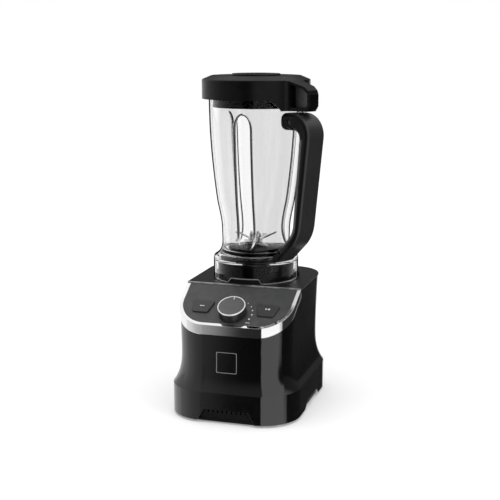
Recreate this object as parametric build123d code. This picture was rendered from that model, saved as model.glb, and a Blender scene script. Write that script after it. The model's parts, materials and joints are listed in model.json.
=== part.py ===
from build123d import *
import math
import os

# Countertop blender: motor base, lift-off jug with its blade set, lid and filler cap.
# Millimetres. +Z is up from the table along the drive axis, and the front faces -Y.

# Motor base, outside
base_width = 181.0
base_front = 143.5
base_back = 94.5
base_corner = 54.0
skirt_top = 43.0
waist_height = 92.0
waist_inset = 11.8
deck_inset = 8.8
deck_back_inset = 3.2
deck_height = 175.0
tower_sections = 12
deck_lip = 2.4
deck_overhang = 0.7
deck_front = 61.0
shell_wall = 3.6
rim_gap = 1.0
foot_drop = 2.0
plate_thick = 3.0
pan_drop = 1.0
pan_width = 84.0
pan_length = 150.0
pan_corner = 12.0
foot_radius = 10.0
seam = 0.15
boss_radius = 6.5
boss_inset = 5.5
lug_drop = 12.0
lug_radius = 9.0
lug_inset = 6.5
gland_height = 26.0
gland_radius = 8.0
cord_radius = 3.6

# Air inlet at the front and the arches in the sides' lower edge
inlet_half_width = 42.0
inlet_top_half_width = 31.0
inlet_height = 19.5
inlet_slots = 9
inlet_slot_width = 2.6
inlet_pitch = 6.6
grille_gap = 1.8
arch_middle = -23.0
arch_half_width = 44.0
arch_top_half_width = 27.0
arch_height = 11.5

# Control panel and its steel band
panel_slope = 28.4
panel_thick = 3.0
band_height = 12.0
band_thick = 1.5
band_flange = 4.4
band_flange_thick = 1.4
band_proud = 0.3
ledge_width = 4.0
ledge_thick = 2.4

# Knob and buttons, placed down the panel's slope from the deck's front edge
knob_radius = 19.4
knob_height = 14.0
knob_down = 55.0
knob_lift = 0.6
knob_ring_height = 1.8
knob_ring_wall = 1.3
spindle_radius = 3.0
button_spread = 46.0
button_down = 46.8
button_top_half = 16.2
button_bottom_half = 10.8
button_length = 23.2
button_corner = 3.5
button_rise = 2.2
button_travel = 1.5
button_gap = 0.35
button_flange = 1.4

# Board under the panel
board_depth = 13.0
board_thick = 1.6
board_width = 122.0
board_length = 44.0
board_post = 3.2
board_post_x = 23.0
board_post_y = 17.0
switch_width = 6.0
switch_height = 4.8
encoder_width = 14.0
encoder_height = 6.0

# Pedestal, the well that the drive sits in, and the jug's locating keys
pedestal_radius = 53.5
pedestal_rise = 26.0
pedestal_wall = 3.0
well_radius = 31.0
well_rise = 4.0
key_count = 3
key_half_width = 24.0
key_top_half_width = 19.0
key_height = 6.0
key_clear = 0.7
key_reach = 2.0

# Motor
post_height = 17.0
mount_radius = 7.5
mount_height = 8.0
stator_width = 88.0
stator_height = 46.0
stator_bore = 26.6
stator_frame = 8.0
stator_lift = 28.0
air_gap = 1.0
pole_half = 13.0
pole_shoe = 4.0
coil_thick = 7.0
coil_overhang = 8.0
bracket_thick = 4.0
bracket_bolt = 36.0
bracket_leg = 13.0
bracket_rise = 28.0
shaft_radius = 5.0
run_clear = 0.05
bearing_radius = 13.0
bearing_height = 9.0
hub_wall = 3.0
bolt_radius = 2.5
bolt_clear = 0.2
commutator_radius = 14.0
commutator_height = 11.0
brush_width = 7.0
fan_radius = 38.0
fan_blades = 11
fan_height = 10.0
rotor_slots = 12
coupling_radius = 14.5
coupling_lobes = 6
coupling_height = 13.0
coupling_clear = 0.5

# Jug, with heights from the deck and, at the top, from the rim
jug_length = 270.0
jug_rim_radius = 66.4
jug_upper_radius = 64.9
jug_upper_drop = 62.0
jug_middle_radius = 55.8
jug_middle_rise = 115.0
jug_waist_radius = 48.5
jug_waist_rise = 69.0
jug_wall = 3.2
jug_bead = 2.4
jug_floor_rise = 39.0
jug_floor_thick = 4.0
jug_floor_round = 4.0
skirt_radius = 60.5
skirt_wall = 3.0
skirt_rise = 31.0
skirt_seat = 0.3
flute_count = 3
flute_radius = 12.0
flute_depth = 7.0
flute_drop = 59.0
flute_runout = 8.4
flute_runout_length = 19.0

# Handle, in the upright plane through the drive axis at its azimuth from the front
handle_azimuth = 61.0
handle_width = 36.0
handle_drop = 33.0
handle_arm = 23.0
handle_reach = 118.2
handle_grip = 98.0
handle_knee_rise = 67.0
handle_knee_reach = 97.4
handle_knee_grip = 85.6
handle_edge = 5.6
handle_shoulder = 30.0
handle_knee_round = 50.0
handle_grip_round = 34.0
handle_arm_round = 10.0
handle_end_round = 9.0
handle_end_sink = 3.5
cover_depth = 7.0
cover_inset = 0.8
lug_width = 9.0
lug_height = 12.0
screw_head = 3.6
screw_shank = 2.0

# Blade unit
flange_radius = 40.0
flange_rim = 4.0
gasket_thick = 0.5
housing_radius = 19.5
housing_dome = 4.0
hole_clear = 0.5
nut_radius = 28.0
nut_height = 6.4
blade_shaft_radius = 4.0
blade_bearing_radius = 11.0
blade_bearing_height = 7.0
blade_thick = 1.8
blade_hub = 9.5
blade_span = 31.0
spacer_height = 0.9
nut_cap_height = 7.5
socket_radius = 21.0
socket_floor = 4.0

# Lid and filler cap, with heights from the jug's rim
lid_radius = 75.6
lid_skirt_drop = 16.7
lid_edge_rise = 10.0
lid_rise = 15.0
lid_plateau = 62.6
lid_wall = 2.8
lid_rim_gap = 3.0
plug_radius = 58.6
plug_wall = 3.2
plug_drop = 27.5
filler_radius = 30.4
collar_wall = 3.2
collar_depth = 22.0
cap_radius = 34.0
cap_thick = 2.4
cap_wall = 2.2
cap_depth = 24.0
body_clear = 0.4
apron_drop = 30.5
apron_half_width = 21.0
apron_top_half_width = 38.0
tab_reach = 109.4
tab_root_half = 15.0
tab_spread = 9.0
tab_tip_half = 8.2
tab_web = 3.0
tab_blend = 9.0

# Heights and places worked out from the driving sizes
BIG = 400.0
deck_under = deck_height - deck_lip
plate_top = foot_drop + plate_thick
base_middle = (base_back - base_front) / 2
base_depth = base_front + base_back
pedestal_top = deck_height + pedestal_rise
well_floor = deck_height + well_rise

mount_bottom = plate_top + post_height
bracket_low = mount_bottom + mount_height
stator_bottom = bracket_low + bracket_thick + stator_lift
stator_top = stator_bottom + stator_height
bracket_high = stator_top + bracket_rise
rotor_radius = stator_bore - air_gap

jug_bottom = deck_height + skirt_seat
jug_top = deck_height + jug_length
jug_floor = deck_height + jug_floor_rise
jug_under = jug_floor - jug_floor_thick
skirt_high = deck_height + skirt_rise
hole_radius = housing_radius + hole_clear
housing_low = jug_under - nut_height - 4.0
flange_low = jug_floor + gasket_thick
housing_high = flange_low + flange_rim + housing_dome
blade_low = housing_high + 2.5

handle_high = jug_top - handle_drop
lid_bottom = jug_top - lid_skirt_drop
lid_edge = jug_top + lid_edge_rise
lid_top = jug_top + lid_rise
plug_bottom = jug_top - plug_drop
apron_bottom = jug_top - apron_drop

slope = math.radians(panel_slope)
panel = Plane(
    (0, -deck_front, deck_under),
    x_dir=(1, 0, 0),
    z_dir=(0, -math.sin(slope), math.cos(slope)),
)
azimuth = math.radians(handle_azimuth)
side_on = Plane(
    (0, 0, 0),
    x_dir=(math.sin(azimuth), -math.cos(azimuth), 0),
    z_dir=(-math.cos(azimuth), -math.sin(azimuth), 0),
)


def save(name, shape):
    """Write one named piece."""
    export_step(shape, f"parts/{name}.step")


def disc(radius, low, high, x=0.0, y=0.0):
    """Upright cylinder between two heights."""
    return Pos(x, y, low) * extrude(Circle(radius), high - low)


def ring(outer, inner, low, high, x=0.0, y=0.0):
    """Upright tube between two heights."""
    return Pos(x, y, low) * extrude(Circle(outer) - Circle(inner), high - low)


def block(outline, low, high):
    """Upright prism between two heights."""
    return Pos(0, 0, low) * extrude(outline, high - low)


def polygon(*points):
    """Flat face with straight sides."""
    return make_face(Polyline(*points, close=True))


def turned(*points):
    """Solid of revolution about the drive axis, from an outline of radius and height."""
    return revolve(Plane.XZ * polygon(*points), Axis.Z)


def around(shape, count):
    """Copies of a shape, evenly spaced about the drive axis, from the front on."""
    return [Rot(0, 0, step * 360.0 / count) * shape for step in range(count)]


def four(x, front, back):
    """Four places, in pairs at the front and at the back."""
    return [(side * x, y) for y in (front, back) for side in (-1, 1)]


def trapezoid(half_low, half_high, low, high):
    """Upright trapezoid, wide below."""
    return polygon((-half_low, low), (half_low, low), (half_high, high), (-half_high, high))


def inset_at(z):
    """How far the tower lies inside the skirt: a concave flare, then a slow widening."""
    if z <= waist_height:
        share = (z - skirt_top) / (waist_height - skirt_top)
        return waist_inset * (1 - (1 - share) ** 3)
    share = (z - waist_height) / (deck_height - waist_height)
    return waist_inset - (waist_inset - deck_inset) * share**1.5


def plan(z, inset):
    """The base's rounded outline at a height, drawn in by an inset."""
    back = deck_back_inset * max(0.0, z - skirt_top) / (deck_height - skirt_top)
    depth = base_depth - 2 * inset - back
    outline = RectangleRounded(base_width - 2 * inset, depth, base_corner - inset)
    return Pos(0, base_middle - back / 2, z) * outline


def tower(inset, low=0.0):
    """The base's whole form, drawn in by an inset all round."""
    step = (deck_height + 6.0 - skirt_top) / tower_sections
    heights = [skirt_top + count * step for count in range(tower_sections + 1)]
    skirt = Pos(0, 0, low) * extrude(plan(0, inset), skirt_top - low)
    return skirt + loft([plan(z, inset_at(z) + inset) for z in heights])


def slab(high, low):
    """Slab between two depths from the panel's face, ahead of the deck's front edge."""
    return panel * Pos(0, -BIG / 2 - seam, (high + low) / 2) * Box(BIG, BIG, high - low)


boss_offset = (base_corner - shell_wall - boss_inset) * math.sqrt(0.5)
boss_places = four(
    base_width / 2 - base_corner + boss_offset,
    -base_front + base_corner - boss_offset,
    base_back - base_corner + boss_offset,
)
foot_places = four(
    base_width / 2 - base_corner + boss_offset / 2,
    -base_front + base_corner - boss_offset / 2,
    base_back - base_corner + boss_offset / 2,
)
lug_top = deck_under - lug_drop
lug_x = base_width / 2 - inset_at(lug_top) - shell_wall - lug_inset
lug_places = four(lug_x, -deck_front / 2, base_back - base_corner)
bolt_places = four(bracket_bolt, -bracket_bolt, bracket_bolt)
board_places = four(board_post_x, -button_down - board_post_y, -button_down + board_post_y)


def base_housing():
    """Waisted shell with screw bosses, deck lugs, a ledge for the panel and a rebate for the band."""
    low = foot_drop + rim_gap
    shell = tower(0, low) - tower(shell_wall, low - 1.0)
    inside = tower(shell_wall / 2, low)
    for x, y in boss_places:
        shell += disc(boss_radius, plate_top + seam, skirt_top - 4.0, x, y) & inside
    for x, y in lug_places:
        shell += disc(lug_radius, lug_top - 4.0, lug_top, x, y) & inside
    ledge_high = -panel_thick - seam
    ledge = tower(shell_wall / 2) - tower(shell_wall + ledge_width)
    shell += ledge & slab(ledge_high, ledge_high - ledge_thick)
    shell -= Pos(0, 0, deck_under + BIG / 2) * Box(BIG, BIG, BIG)
    shell -= slab(BIG / 4, -band_flange_thick - seam)
    shell -= slab(1.0, -band_height - seam) - tower(band_thick - band_proud + seam)
    for x, y in boss_places:
        shell -= disc(screw_shank + seam, 0, skirt_top - 8.0, x, y)
    for x, y in lug_places:
        shell -= disc(screw_shank + seam, lug_top - 5.0, lug_top + 1.0, x, y)
    inlet = trapezoid(inlet_half_width, inlet_top_half_width, 0, inlet_height)
    inlet = fillet(inlet.vertices().group_by(Axis.Y)[-1], 5.0)
    shell -= Pos(0, -base_front + 2 * shell_wall, 0) * extrude(Plane.XZ * inlet, BIG / 4)
    arch = trapezoid(arch_half_width, arch_top_half_width, 0, arch_height)
    arch = fillet(arch.vertices().group_by(Axis.Y)[-1], 6.0)
    shell -= extrude(Plane.YZ * Pos(arch_middle, 0) * arch, BIG / 2, both=True)
    hole = Pos(0, base_back, gland_height) * Rot(90, 0, 0) * Cylinder(gland_radius + seam, 30.0)
    return shell - hole


def top_deck():
    """Deck plate with the hollow pedestal, the drive well, the keys and the screw posts."""
    plate = extrude(plan(deck_height, inset_at(deck_height) - deck_overhang), -deck_lip)
    plate -= Pos(0, -deck_front - BIG / 2, deck_height) * Box(BIG, BIG, BIG)
    plate = fillet(plate.edges().group_by(Axis.Z)[-1], 1.0)
    rim_inset = inset_at(deck_height) + shell_wall + 2 * body_clear
    rim = plan(deck_under, rim_inset) - plan(deck_under, rim_inset + 2.0)
    rim = extrude(rim, -6.0) - Pos(0, -deck_front - BIG / 2 + 8.0, deck_under) * Box(BIG, BIG, BIG)
    pedestal = disc(pedestal_radius, deck_under, pedestal_top)
    pedestal = fillet(pedestal.edges().group_by(Axis.Z)[-1], 3.0)
    deck = plate + rim + pedestal
    deck -= disc(well_radius, well_floor, pedestal_top + 1.0)
    hollow = ring(
        pedestal_radius - pedestal_wall,
        well_radius + pedestal_wall,
        deck_under - 1.0,
        pedestal_top - pedestal_wall,
    )
    deck -= hollow
    deck -= disc(shaft_radius + 4.0, deck_under - 1.0, well_floor + 1.0)
    bevel = trapezoid(key_half_width, key_top_half_width, -0.5, key_height)
    key = Pos(0, 0, deck_height) * extrude(Plane.XZ * bevel, BIG / 4)
    band = ring(skirt_radius + key_reach, skirt_radius - skirt_wall - 1.0, 0, BIG)
    for turned_key in around(key & band, key_count):
        deck += turned_key
    for x, y in lug_places:
        deck += disc(5.0, lug_top + seam, deck_under, x, y)
        deck -= disc(screw_shank + seam, 0, deck_under, x, y)
    return deck


def screws(length, low, places):
    """Pan-head screws that point up, with their heads' shoulders at a height."""
    shanks = [disc(screw_shank, low, low + length, x, y) for x, y in places]
    heads = [disc(screw_head, low - 2.0, low, x, y) for x, y in places]
    return Compound([head + shank for head, shank in zip(heads, shanks)])


def trim_band():
    """Steel band of L section round the panel's lower edge and sides."""
    skin = tower(-band_proud)
    wall = (skin - tower(band_thick - band_proud)) & slab(0, -band_height)
    flange = (skin - tower(band_flange)) & slab(0, -band_flange_thick)
    return wall + flange


def button_face(grow):
    """Button outline, wide towards the deck, grown all round."""
    half = button_length / 2
    face = polygon(
        (-button_top_half, half),
        (button_top_half, half),
        (button_bottom_half, -half),
        (-button_bottom_half, -half),
    )
    face = fillet(face.vertices(), button_corner)
    return offset(face, grow) if grow else face


def on_panel(x, down, depth=0.0):
    """Place on the panel, across, down the slope and below its face."""
    return panel * Pos(x, -down, -depth)


def control_panel():
    """Sloping plate with the button openings, the spindle hole and the board's posts."""
    plate = tower(band_flange + seam) & slab(0, -panel_thick)
    for x in (-button_spread, button_spread):
        opening = extrude(button_face(button_gap), panel_thick + 2.0)
        plate -= on_panel(x, button_down, panel_thick + 1.0) * opening
    plate -= on_panel(0, knob_down, panel_thick / 2) * Cylinder(spindle_radius + 0.5, panel_thick + 2.0)
    depth = board_depth - panel_thick
    for x, y in board_places:
        post = Cylinder(board_post, depth) - Cylinder(screw_shank * 0.6 + seam, depth)
        plate += on_panel(x, -y, panel_thick + depth / 2) * post
    return plate


def control_board():
    """Printed board that hangs under the panel."""
    board = Box(board_width, board_length, board_thick)
    board = on_panel(0, button_down, board_depth + board_thick / 2) * board
    for x, y in board_places:
        board -= on_panel(x, -y, board_depth) * Cylinder(screw_shank * 0.6 + seam, 4 * board_thick)
    return board


def board_screws():
    """Four small screws under the board."""
    shank = screw_shank * 0.6
    screws = []
    for x, y in board_places:
        head = on_panel(x, -y, board_depth + board_thick + 0.7) * Cylinder(2 * shank, 1.4)
        stem = Cylinder(shank, board_thick + 4.0)
        screws.append(head + on_panel(x, -y, board_depth + board_thick / 2 - 2.0) * stem)
    return Compound(screws)


def speed_encoder():
    """Rotary encoder on the board, with the bushing that carries the knob's spindle."""
    bush = board_depth - encoder_height - panel_thick - seam
    body = Box(encoder_width, encoder_width, encoder_height)
    body = on_panel(0, knob_down, board_depth - encoder_height / 2) * body
    body += on_panel(0, knob_down, panel_thick + seam + bush / 2) * Cylinder(spindle_radius + 2.0, bush)
    bore = board_depth - 1.5
    return body - on_panel(0, knob_down, bore / 2) * Cylinder(spindle_radius + run_clear, bore)


def button_switches():
    """Tactile switches on the board, one under each button."""
    switches = []
    for x in (-button_spread, button_spread):
        case = on_panel(x, button_down, board_depth - switch_height / 2 + 0.4)
        body = case * Box(switch_width, switch_width, switch_height - 0.8)
        plunger = on_panel(x, button_down, board_depth - switch_height / 2)
        switches.append(body + plunger * Cylinder(1.7, switch_height))
    return Compound(switches)


def push_button(x):
    """Button cap with its retaining flange below the panel and a stem over the switch."""
    below = panel_thick + seam
    cap = on_panel(x, button_down, below) * extrude(button_face(0), below + button_rise)
    face = cap.faces().sort_by(Axis(panel.origin, panel.z_dir))[-1]
    cap = fillet(face.edges(), 0.8)
    cap += on_panel(x, button_down, below + button_flange) * extrude(button_face(1.5), button_flange)
    stem_end = board_depth - switch_height - button_travel - 0.4
    stem = stem_end - below - button_flange
    return cap + on_panel(x, button_down, stem_end - stem / 2) * Cylinder(2.5, stem)


def speed_knob():
    """Knob body, hollow for the spindle, with a seat on top for the ring and the face."""
    height = knob_height - knob_ring_height - knob_lift
    body = on_panel(0, knob_down, -knob_lift) * extrude(Circle(knob_radius), height, taper=2.0)
    seat = knob_radius - knob_ring_wall - 0.8
    body += on_panel(0, knob_down, -knob_lift - height) * extrude(Circle(seat), knob_ring_height - 1.0)
    bore = Cylinder(spindle_radius + 0.02, knob_height)
    return body - on_panel(0, knob_down, -knob_height / 2 + 2.0) * bore


def knob_ring():
    """Bright ring round the knob's face."""
    outer = knob_radius - 0.4
    tube = Circle(outer) - Circle(outer - knob_ring_wall)
    tube = on_panel(0, knob_down, -knob_height + knob_ring_height) * extrude(tube, knob_ring_height)
    return chamfer(tube.edges().group_by(Axis(panel.origin, panel.z_dir))[-1], 0.4)


def knob_face():
    """Plain disc inside the ring."""
    radius = knob_radius - 0.4 - knob_ring_wall - seam
    return on_panel(0, knob_down, -knob_height + 1.0) * extrude(Circle(radius), 0.7)


def knob_spindle():
    """Spindle between the encoder and the knob."""
    top = knob_height - 4.5
    bottom = board_depth - 2.5
    return on_panel(0, knob_down, (bottom - top) / 2) * Cylinder(spindle_radius, top + bottom)


def base_plate():
    """Bottom cover with a flat pan between the feet, motor posts, vent slots and the inlet grille."""
    plate = extrude(plan(foot_drop, shell_wall + body_clear), plate_thick)
    front = -base_front + shell_wall + grille_gap
    wall_height = inlet_height + 5.0
    grille = Box(2 * inlet_half_width + 6.0, 2.4, wall_height)
    plate += Pos(0, front + 1.2, foot_drop + wall_height / 2) * grille
    for step in range(inlet_slots):
        x = (step - (inlet_slots - 1) / 2) * inlet_pitch
        plate -= Pos(x, front, inlet_height - 2.5) * Box(inlet_slot_width, 12.0, 6.0)
    pan = Pos(0, base_middle, foot_drop - pan_drop) * RectangleRounded(pan_width, pan_length, pan_corner)
    plate += extrude(pan, pan_drop)
    for step in range(8):
        vent = Pos((step - 3.5) * 8.0, 0, foot_drop - pan_drop) * SlotOverall(46.0, 4.0, 90)
        plate -= extrude(vent, plate_thick + pan_drop)
    for x, y in bolt_places:
        plate += disc(mount_radius - 1.0, foot_drop, mount_bottom, x, y)
        plate -= disc(bolt_radius + bolt_clear, plate_top, mount_bottom, x, y)
    for x, y in boss_places:
        plate -= disc(screw_shank + seam, 0, BIG / 4, x, y)
        plate -= disc(screw_head + seam, 0, foot_drop + 2.0, x, y)
    for x, y in foot_places:
        plate -= disc(foot_radius * 0.4 + seam, 0, BIG / 4, x, y)
    return plate


def feet():
    """Four rubber feet, each with a stud through the bottom cover."""
    pads = []
    for x, y in foot_places:
        pad = disc(foot_radius, 0, foot_drop, x, y)
        pad = fillet(pad.edges().group_by(Axis.Z)[0], 0.6)
        pads.append(pad + disc(foot_radius * 0.4, foot_drop, plate_top + 1.0, x, y))
    return Compound(pads)


def cord_gland():
    """Strain relief in the back wall: a flange, a plug through the wall and a tapered nose."""
    start = Plane((0, base_back + seam, gland_height), x_dir=(1, 0, 0), z_dir=(0, 1, 0))
    flange = start * extrude(Circle(gland_radius + 2.5), 2.0)
    nose = start.offset(2.0) * extrude(Circle(gland_radius - 1.0), 9.0, taper=8.0)
    plug = start * extrude(Circle(gland_radius), -shell_wall - 5.0)
    bore = start.offset(-20.0) * extrude(Circle(cord_radius), 40.0)
    return flange + nose + plug - bore


def stator_plan():
    """Stator lamination: square frame, two poles with shoes, bolt holes."""
    frame = RectangleRounded(stator_width, stator_width, 12.0)
    inner = stator_width - 2 * stator_frame
    frame -= RectangleRounded(inner, inner, 8.0)
    corner = Rectangle(bracket_leg, bracket_leg)
    for x, y in bolt_places:
        frame += Pos(x, y) * corner
    frame = frame & RectangleRounded(stator_width, stator_width, 12.0)
    frame += Rectangle(stator_width - 2.0, 2 * pole_half)
    frame += Circle(stator_bore + pole_shoe) & Rectangle(stator_width, 2 * pole_half + 16.0)
    frame -= Circle(stator_bore)
    for x, y in bolt_places:
        frame -= Pos(x, y) * Circle(bolt_radius + bolt_clear)
    return frame


def field_coils():
    """Two coils, each wound round a pole between its shoe and the frame."""
    near = stator_bore + pole_shoe + 0.4
    far = stator_width / 2 - stator_frame - 0.4
    tall = stator_height + 2 * coil_overhang
    wound = Box(far - near, 2 * (pole_half + coil_thick), tall)
    wound = fillet(wound.edges().filter_by(Axis.X), 5.0)
    wound -= Box(BIG, 2 * pole_half + 0.4, stator_height + 0.4)
    middle = (stator_bottom + stator_top) / 2
    place = (near + far) / 2
    return Compound([Pos(side * place, 0, middle) * wound for side in (-1, 1)])


def bracket(low, leg_low, leg_high, hub_low, hub_high, bearing_low):
    """Motor end bracket: a cross of arms, a bearing hub and a leg at each corner."""
    ring_plan = Circle(bearing_radius + hub_wall + seam)
    arm = Rectangle(2 * math.sqrt(2) * bracket_bolt, bracket_leg)
    outline = ring_plan + Rot(0, 0, 45) * arm + Rot(0, 0, -45) * arm
    outline = outline & RectangleRounded(stator_width, stator_width, 12.0)
    part = block(outline, low, low + bracket_thick)
    part += disc(bearing_radius + hub_wall + seam, hub_low, hub_high)
    leg = Rectangle(bracket_leg, bracket_leg)
    for x, y in bolt_places:
        corner = Pos(x, y) * leg & RectangleRounded(stator_width, stator_width, 12.0)
        part += block(corner, leg_low, leg_high)
        part -= disc(bolt_radius + bolt_clear, 0, BIG, x, y)
    part -= disc(bearing_radius + seam, bearing_low, bearing_low + bearing_height)
    return part - disc(shaft_radius + 2.0, 0, BIG)


def bearing(low, radius, bore, height):
    """Sealed ball bearing as one ring."""
    race = ring(radius, bore + run_clear, low, low + height)
    return chamfer(race.edges().filter_by(GeomType.CIRCLE).group_by(SortBy.RADIUS)[-1], 0.5)


def motor_bolts():
    """Four long bolts through the brackets, the stator and the rubber mounts."""
    bolts = []
    top = bracket_high + bracket_thick
    for x, y in bolt_places:
        head = Pos(x, y, top) * extrude(RegularPolygon(4.4, 6), 3.0)
        bolts.append(head + disc(bolt_radius, plate_top + 3.0, top, x, y))
    return Compound(bolts)


def motor_mounts():
    """Rubber bushes between the bottom cover's posts and the motor."""
    bore = bolt_radius + bolt_clear
    return Compound([ring(mount_radius, bore, mount_bottom, bracket_low, x, y) for x, y in bolt_places])


commutator_low = bracket_low + bracket_thick + 7.0
brush_middle = commutator_low + commutator_height / 2
brush_reach = commutator_radius + 26.0


def brush_holders():
    """Brush boxes that stand on the lower bracket's ring."""
    low = bracket_low + bracket_thick
    tall = brush_middle + brush_width / 2 + 2.5 - low
    near = commutator_radius + 1.5
    box = Box(brush_width + 5.0, brush_reach - near, tall)
    box = Pos(0, (near + brush_reach) / 2, low + tall / 2) * box
    box -= Pos(0, near, brush_middle) * Box(brush_width + 0.4, 44.0, brush_width + 0.4)
    return Compound(around(box, 2))


def carbon_brushes():
    """Brushes that slide in the holders and bear on the commutator."""
    near = commutator_radius + body_clear
    brush = Pos(0, near + 9.0, brush_middle) * Box(brush_width, 18.0, brush_width)
    return Compound(around(brush, 2))


def shaft_seal():
    """Lip seal in the well's floor, clear of the turning shaft."""
    return ring(shaft_radius + 4.0 - 0.05, shaft_radius + 0.35, well_floor - 4.0, well_floor)


def rotor_core():
    """Slotted rotor stack."""
    core = Circle(rotor_radius) - Circle(shaft_radius + 0.02)
    slot = Pos(0, rotor_radius - 3.0) * Rectangle(2.4, 7.0)
    for step in range(rotor_slots):
        core -= Rot(0, 0, step * 360.0 / rotor_slots) * slot
    return block(core, stator_bottom + 1.0, stator_top - 1.0)


def rotor_windings():
    """End turns of the rotor's winding, above and below the stack."""
    turns = []
    for low in (stator_bottom + 1.0 - 9.0, stator_top - 1.0):
        coil = ring(rotor_radius - 3.5, shaft_radius + 2.0, low, low + 9.0)
        turns.append(chamfer(coil.edges().filter_by(GeomType.CIRCLE).group_by(SortBy.RADIUS)[-1], 2.0))
    return Compound(turns)


def commutator():
    """Copper segments round the shaft."""
    outline = Circle(commutator_radius) - Circle(shaft_radius + 0.02)
    groove = Pos(0, commutator_radius) * Rectangle(0.6, 1.6)
    for step in range(2 * rotor_slots):
        outline -= Rot(0, 0, step * 180.0 / rotor_slots) * groove
    return block(outline, commutator_low, commutator_low + commutator_height)


coupling_low = well_floor + 2.0


def motor_shaft():
    """Shaft from the lower bearing up to the drive coupling."""
    shaft = disc(shaft_radius, bracket_low - bearing_height, coupling_low + coupling_height - 2.0)
    return chamfer(shaft.edges().group_by(Axis.Z)[-1], 0.8)


def cooling_fan():
    """Radial fan: hub, back disc and upright blades."""
    low = stator_top + coil_overhang + 5.0
    fan = disc(fan_radius, low, low + 2.0) + disc(shaft_radius + 5.0, low, low + fan_height)
    blade = Rot(0, 0, 22) * Box(fan_radius * 0.62, 1.8, fan_height)
    blade = Pos(fan_radius * 0.62, 0, low + fan_height / 2) * blade
    for turned_blade in around(blade, fan_blades):
        fan += turned_blade
    return fan - disc(shaft_radius + 0.02, 0, BIG)


def star(radius, grow):
    """Drive outline with round lobes, grown all round."""
    lobe = Pos(radius - 3.0, 0) * Circle(3.0 + grow)
    outline = Circle(radius - 3.4 + grow)
    for step in range(coupling_lobes):
        outline += Rot(0, 0, step * 360.0 / coupling_lobes) * lobe
    return outline


def drive_coupling():
    """Lobed drive on the motor shaft, inside the well."""
    drive = block(star(coupling_radius, 0), coupling_low, coupling_low + coupling_height)
    return drive - disc(shaft_radius + 0.02, 0, coupling_low + coupling_height - 2.0)


def wall_points(out):
    """Three places on the jug's wall, pushed out from it: waist, middle and upper."""
    return [
        (jug_waist_radius + out, deck_height + jug_waist_rise),
        (jug_middle_radius + out, deck_height + jug_middle_rise),
        (jug_upper_radius + out, jug_top - jug_upper_drop),
    ]


def jug_outside(grow=0.0):
    """The jug's filled outer form: rim, taper, waist and skirt."""
    rim = (jug_rim_radius + grow, jug_top)
    shoulder = (skirt_radius + grow, skirt_high)
    waist = wall_points(grow)[0]
    knee = (jug_waist_radius + 4.5 + grow, skirt_high + 5.5)
    wall = Spline(*wall_points(grow), rim, tangents=[(0, 1), (0.02, 1)])
    flare = Spline(shoulder, knee, waist, tangents=[(-1, 0.4), (0, 1)])
    rest = Polyline(rim, (0, jug_top), (0, jug_bottom), (skirt_radius + grow, jug_bottom), shoulder)
    return revolve(Plane.XZ * make_face(flare + wall + rest), Axis.Z)


def flute(radius):
    """Round groove that follows the wall and runs out at both ends, at the front."""
    out = flute_radius - flute_depth
    waist, middle, upper = wall_points(out)
    top = (upper[0], jug_top - flute_drop)
    top_end = (top[0] + flute_runout, top[1] + flute_runout_length)
    low_end = (waist[0] + flute_runout, waist[1] - flute_runout_length - 3.0)
    main = Spline(waist, middle, top, tangents=[(0, 1), (0.02, 1)])
    head = TangentArc(top, top_end, tangent=(0.02, 1))
    foot = TangentArc(waist, low_end, tangent=(0, -1))
    path = Plane.XZ * (foot + main + head)
    path = Wire(path.edges())
    section = Plane(path @ 0, z_dir=path % 0) * Circle(radius)
    return Rot(0, 0, -90) * sweep(section, path=path)


def jug_inside():
    """The hollow that holds the drink, with a ridge behind each flute."""
    waist, middle, upper = wall_points(-jug_wall)
    rim = (jug_rim_radius - jug_wall, jug_top + 1.0)
    wall = Spline(waist, middle, upper, rim, tangents=[(0, 1), (0.02, 1)])
    turn = (waist[0], jug_floor + jug_floor_round)
    floor = (waist[0] - jug_floor_round, jug_floor)
    corner = TangentArc(turn, floor, tangent=(0, -1))
    rest = Polyline(floor, (0, jug_floor), (0, jug_top + 1.0), rim)
    hollow = revolve(Plane.XZ * make_face(wall + Line(waist, turn) + corner + rest), Axis.Z)
    for ridge in around(flute(flute_radius + jug_wall), flute_count):
        hollow -= ridge
    return hollow


def lug(grow):
    """Two lugs on the jug that the handle's ends slip over."""
    wide = lug_width + 2 * grow
    tall = lug_height + 2 * grow
    upper = Pos(jug_rim_radius + 8.0, handle_high - handle_arm / 2, 0) * Box(24.0 + 2 * grow, tall, wide)
    low_z = skirt_high + 13.0
    lower = Pos(jug_waist_radius + 9.0, low_z, 0) * Box(20.0 + 2 * grow, tall - 4.0, wide)
    return side_on * upper, side_on * lower


def jug():
    """Clear fluted jug with its skirt, floor hole, key notches and handle lugs."""
    body = jug_outside()
    body += ring(jug_rim_radius + jug_bead, jug_rim_radius - jug_wall / 2, jug_top - 6.0, jug_top)
    for piece in lug(0):
        body += piece
    body -= jug_inside()
    for groove in around(flute(flute_radius), flute_count):
        body -= groove
    inner = skirt_radius - skirt_wall
    body -= turned(
        (0, deck_height - 5.0),
        (inner, deck_height - 5.0),
        (inner, pedestal_top),
        (inner - 7.0, jug_under),
        (0, jug_under),
    )
    body -= disc(hole_radius, 0, jug_floor + 1.0)
    low = key_half_width + key_clear
    high = key_top_half_width + key_clear
    notch = trapezoid(low, high, -1.0, key_height + key_clear)
    notch = Pos(0, -pedestal_radius / 2, deck_height) * extrude(Plane.XZ * notch, BIG / 4)
    for cut in around(notch, key_count):
        body -= cut
    shank = screw_shank + seam
    for place in screw_axes():
        body -= place * Cylinder(shank, handle_width)
    return body


def screw_axes():
    """The handle screws' axes through the lugs, seen side on."""
    upper = side_on * Pos(jug_rim_radius + 13.0, handle_high - handle_arm / 2 - 1.0, 0)
    lower = side_on * Pos(jug_waist_radius + 15.0, skirt_high + 13.0, 0) * Rot(180, 0, 0)
    return upper, lower


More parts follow.
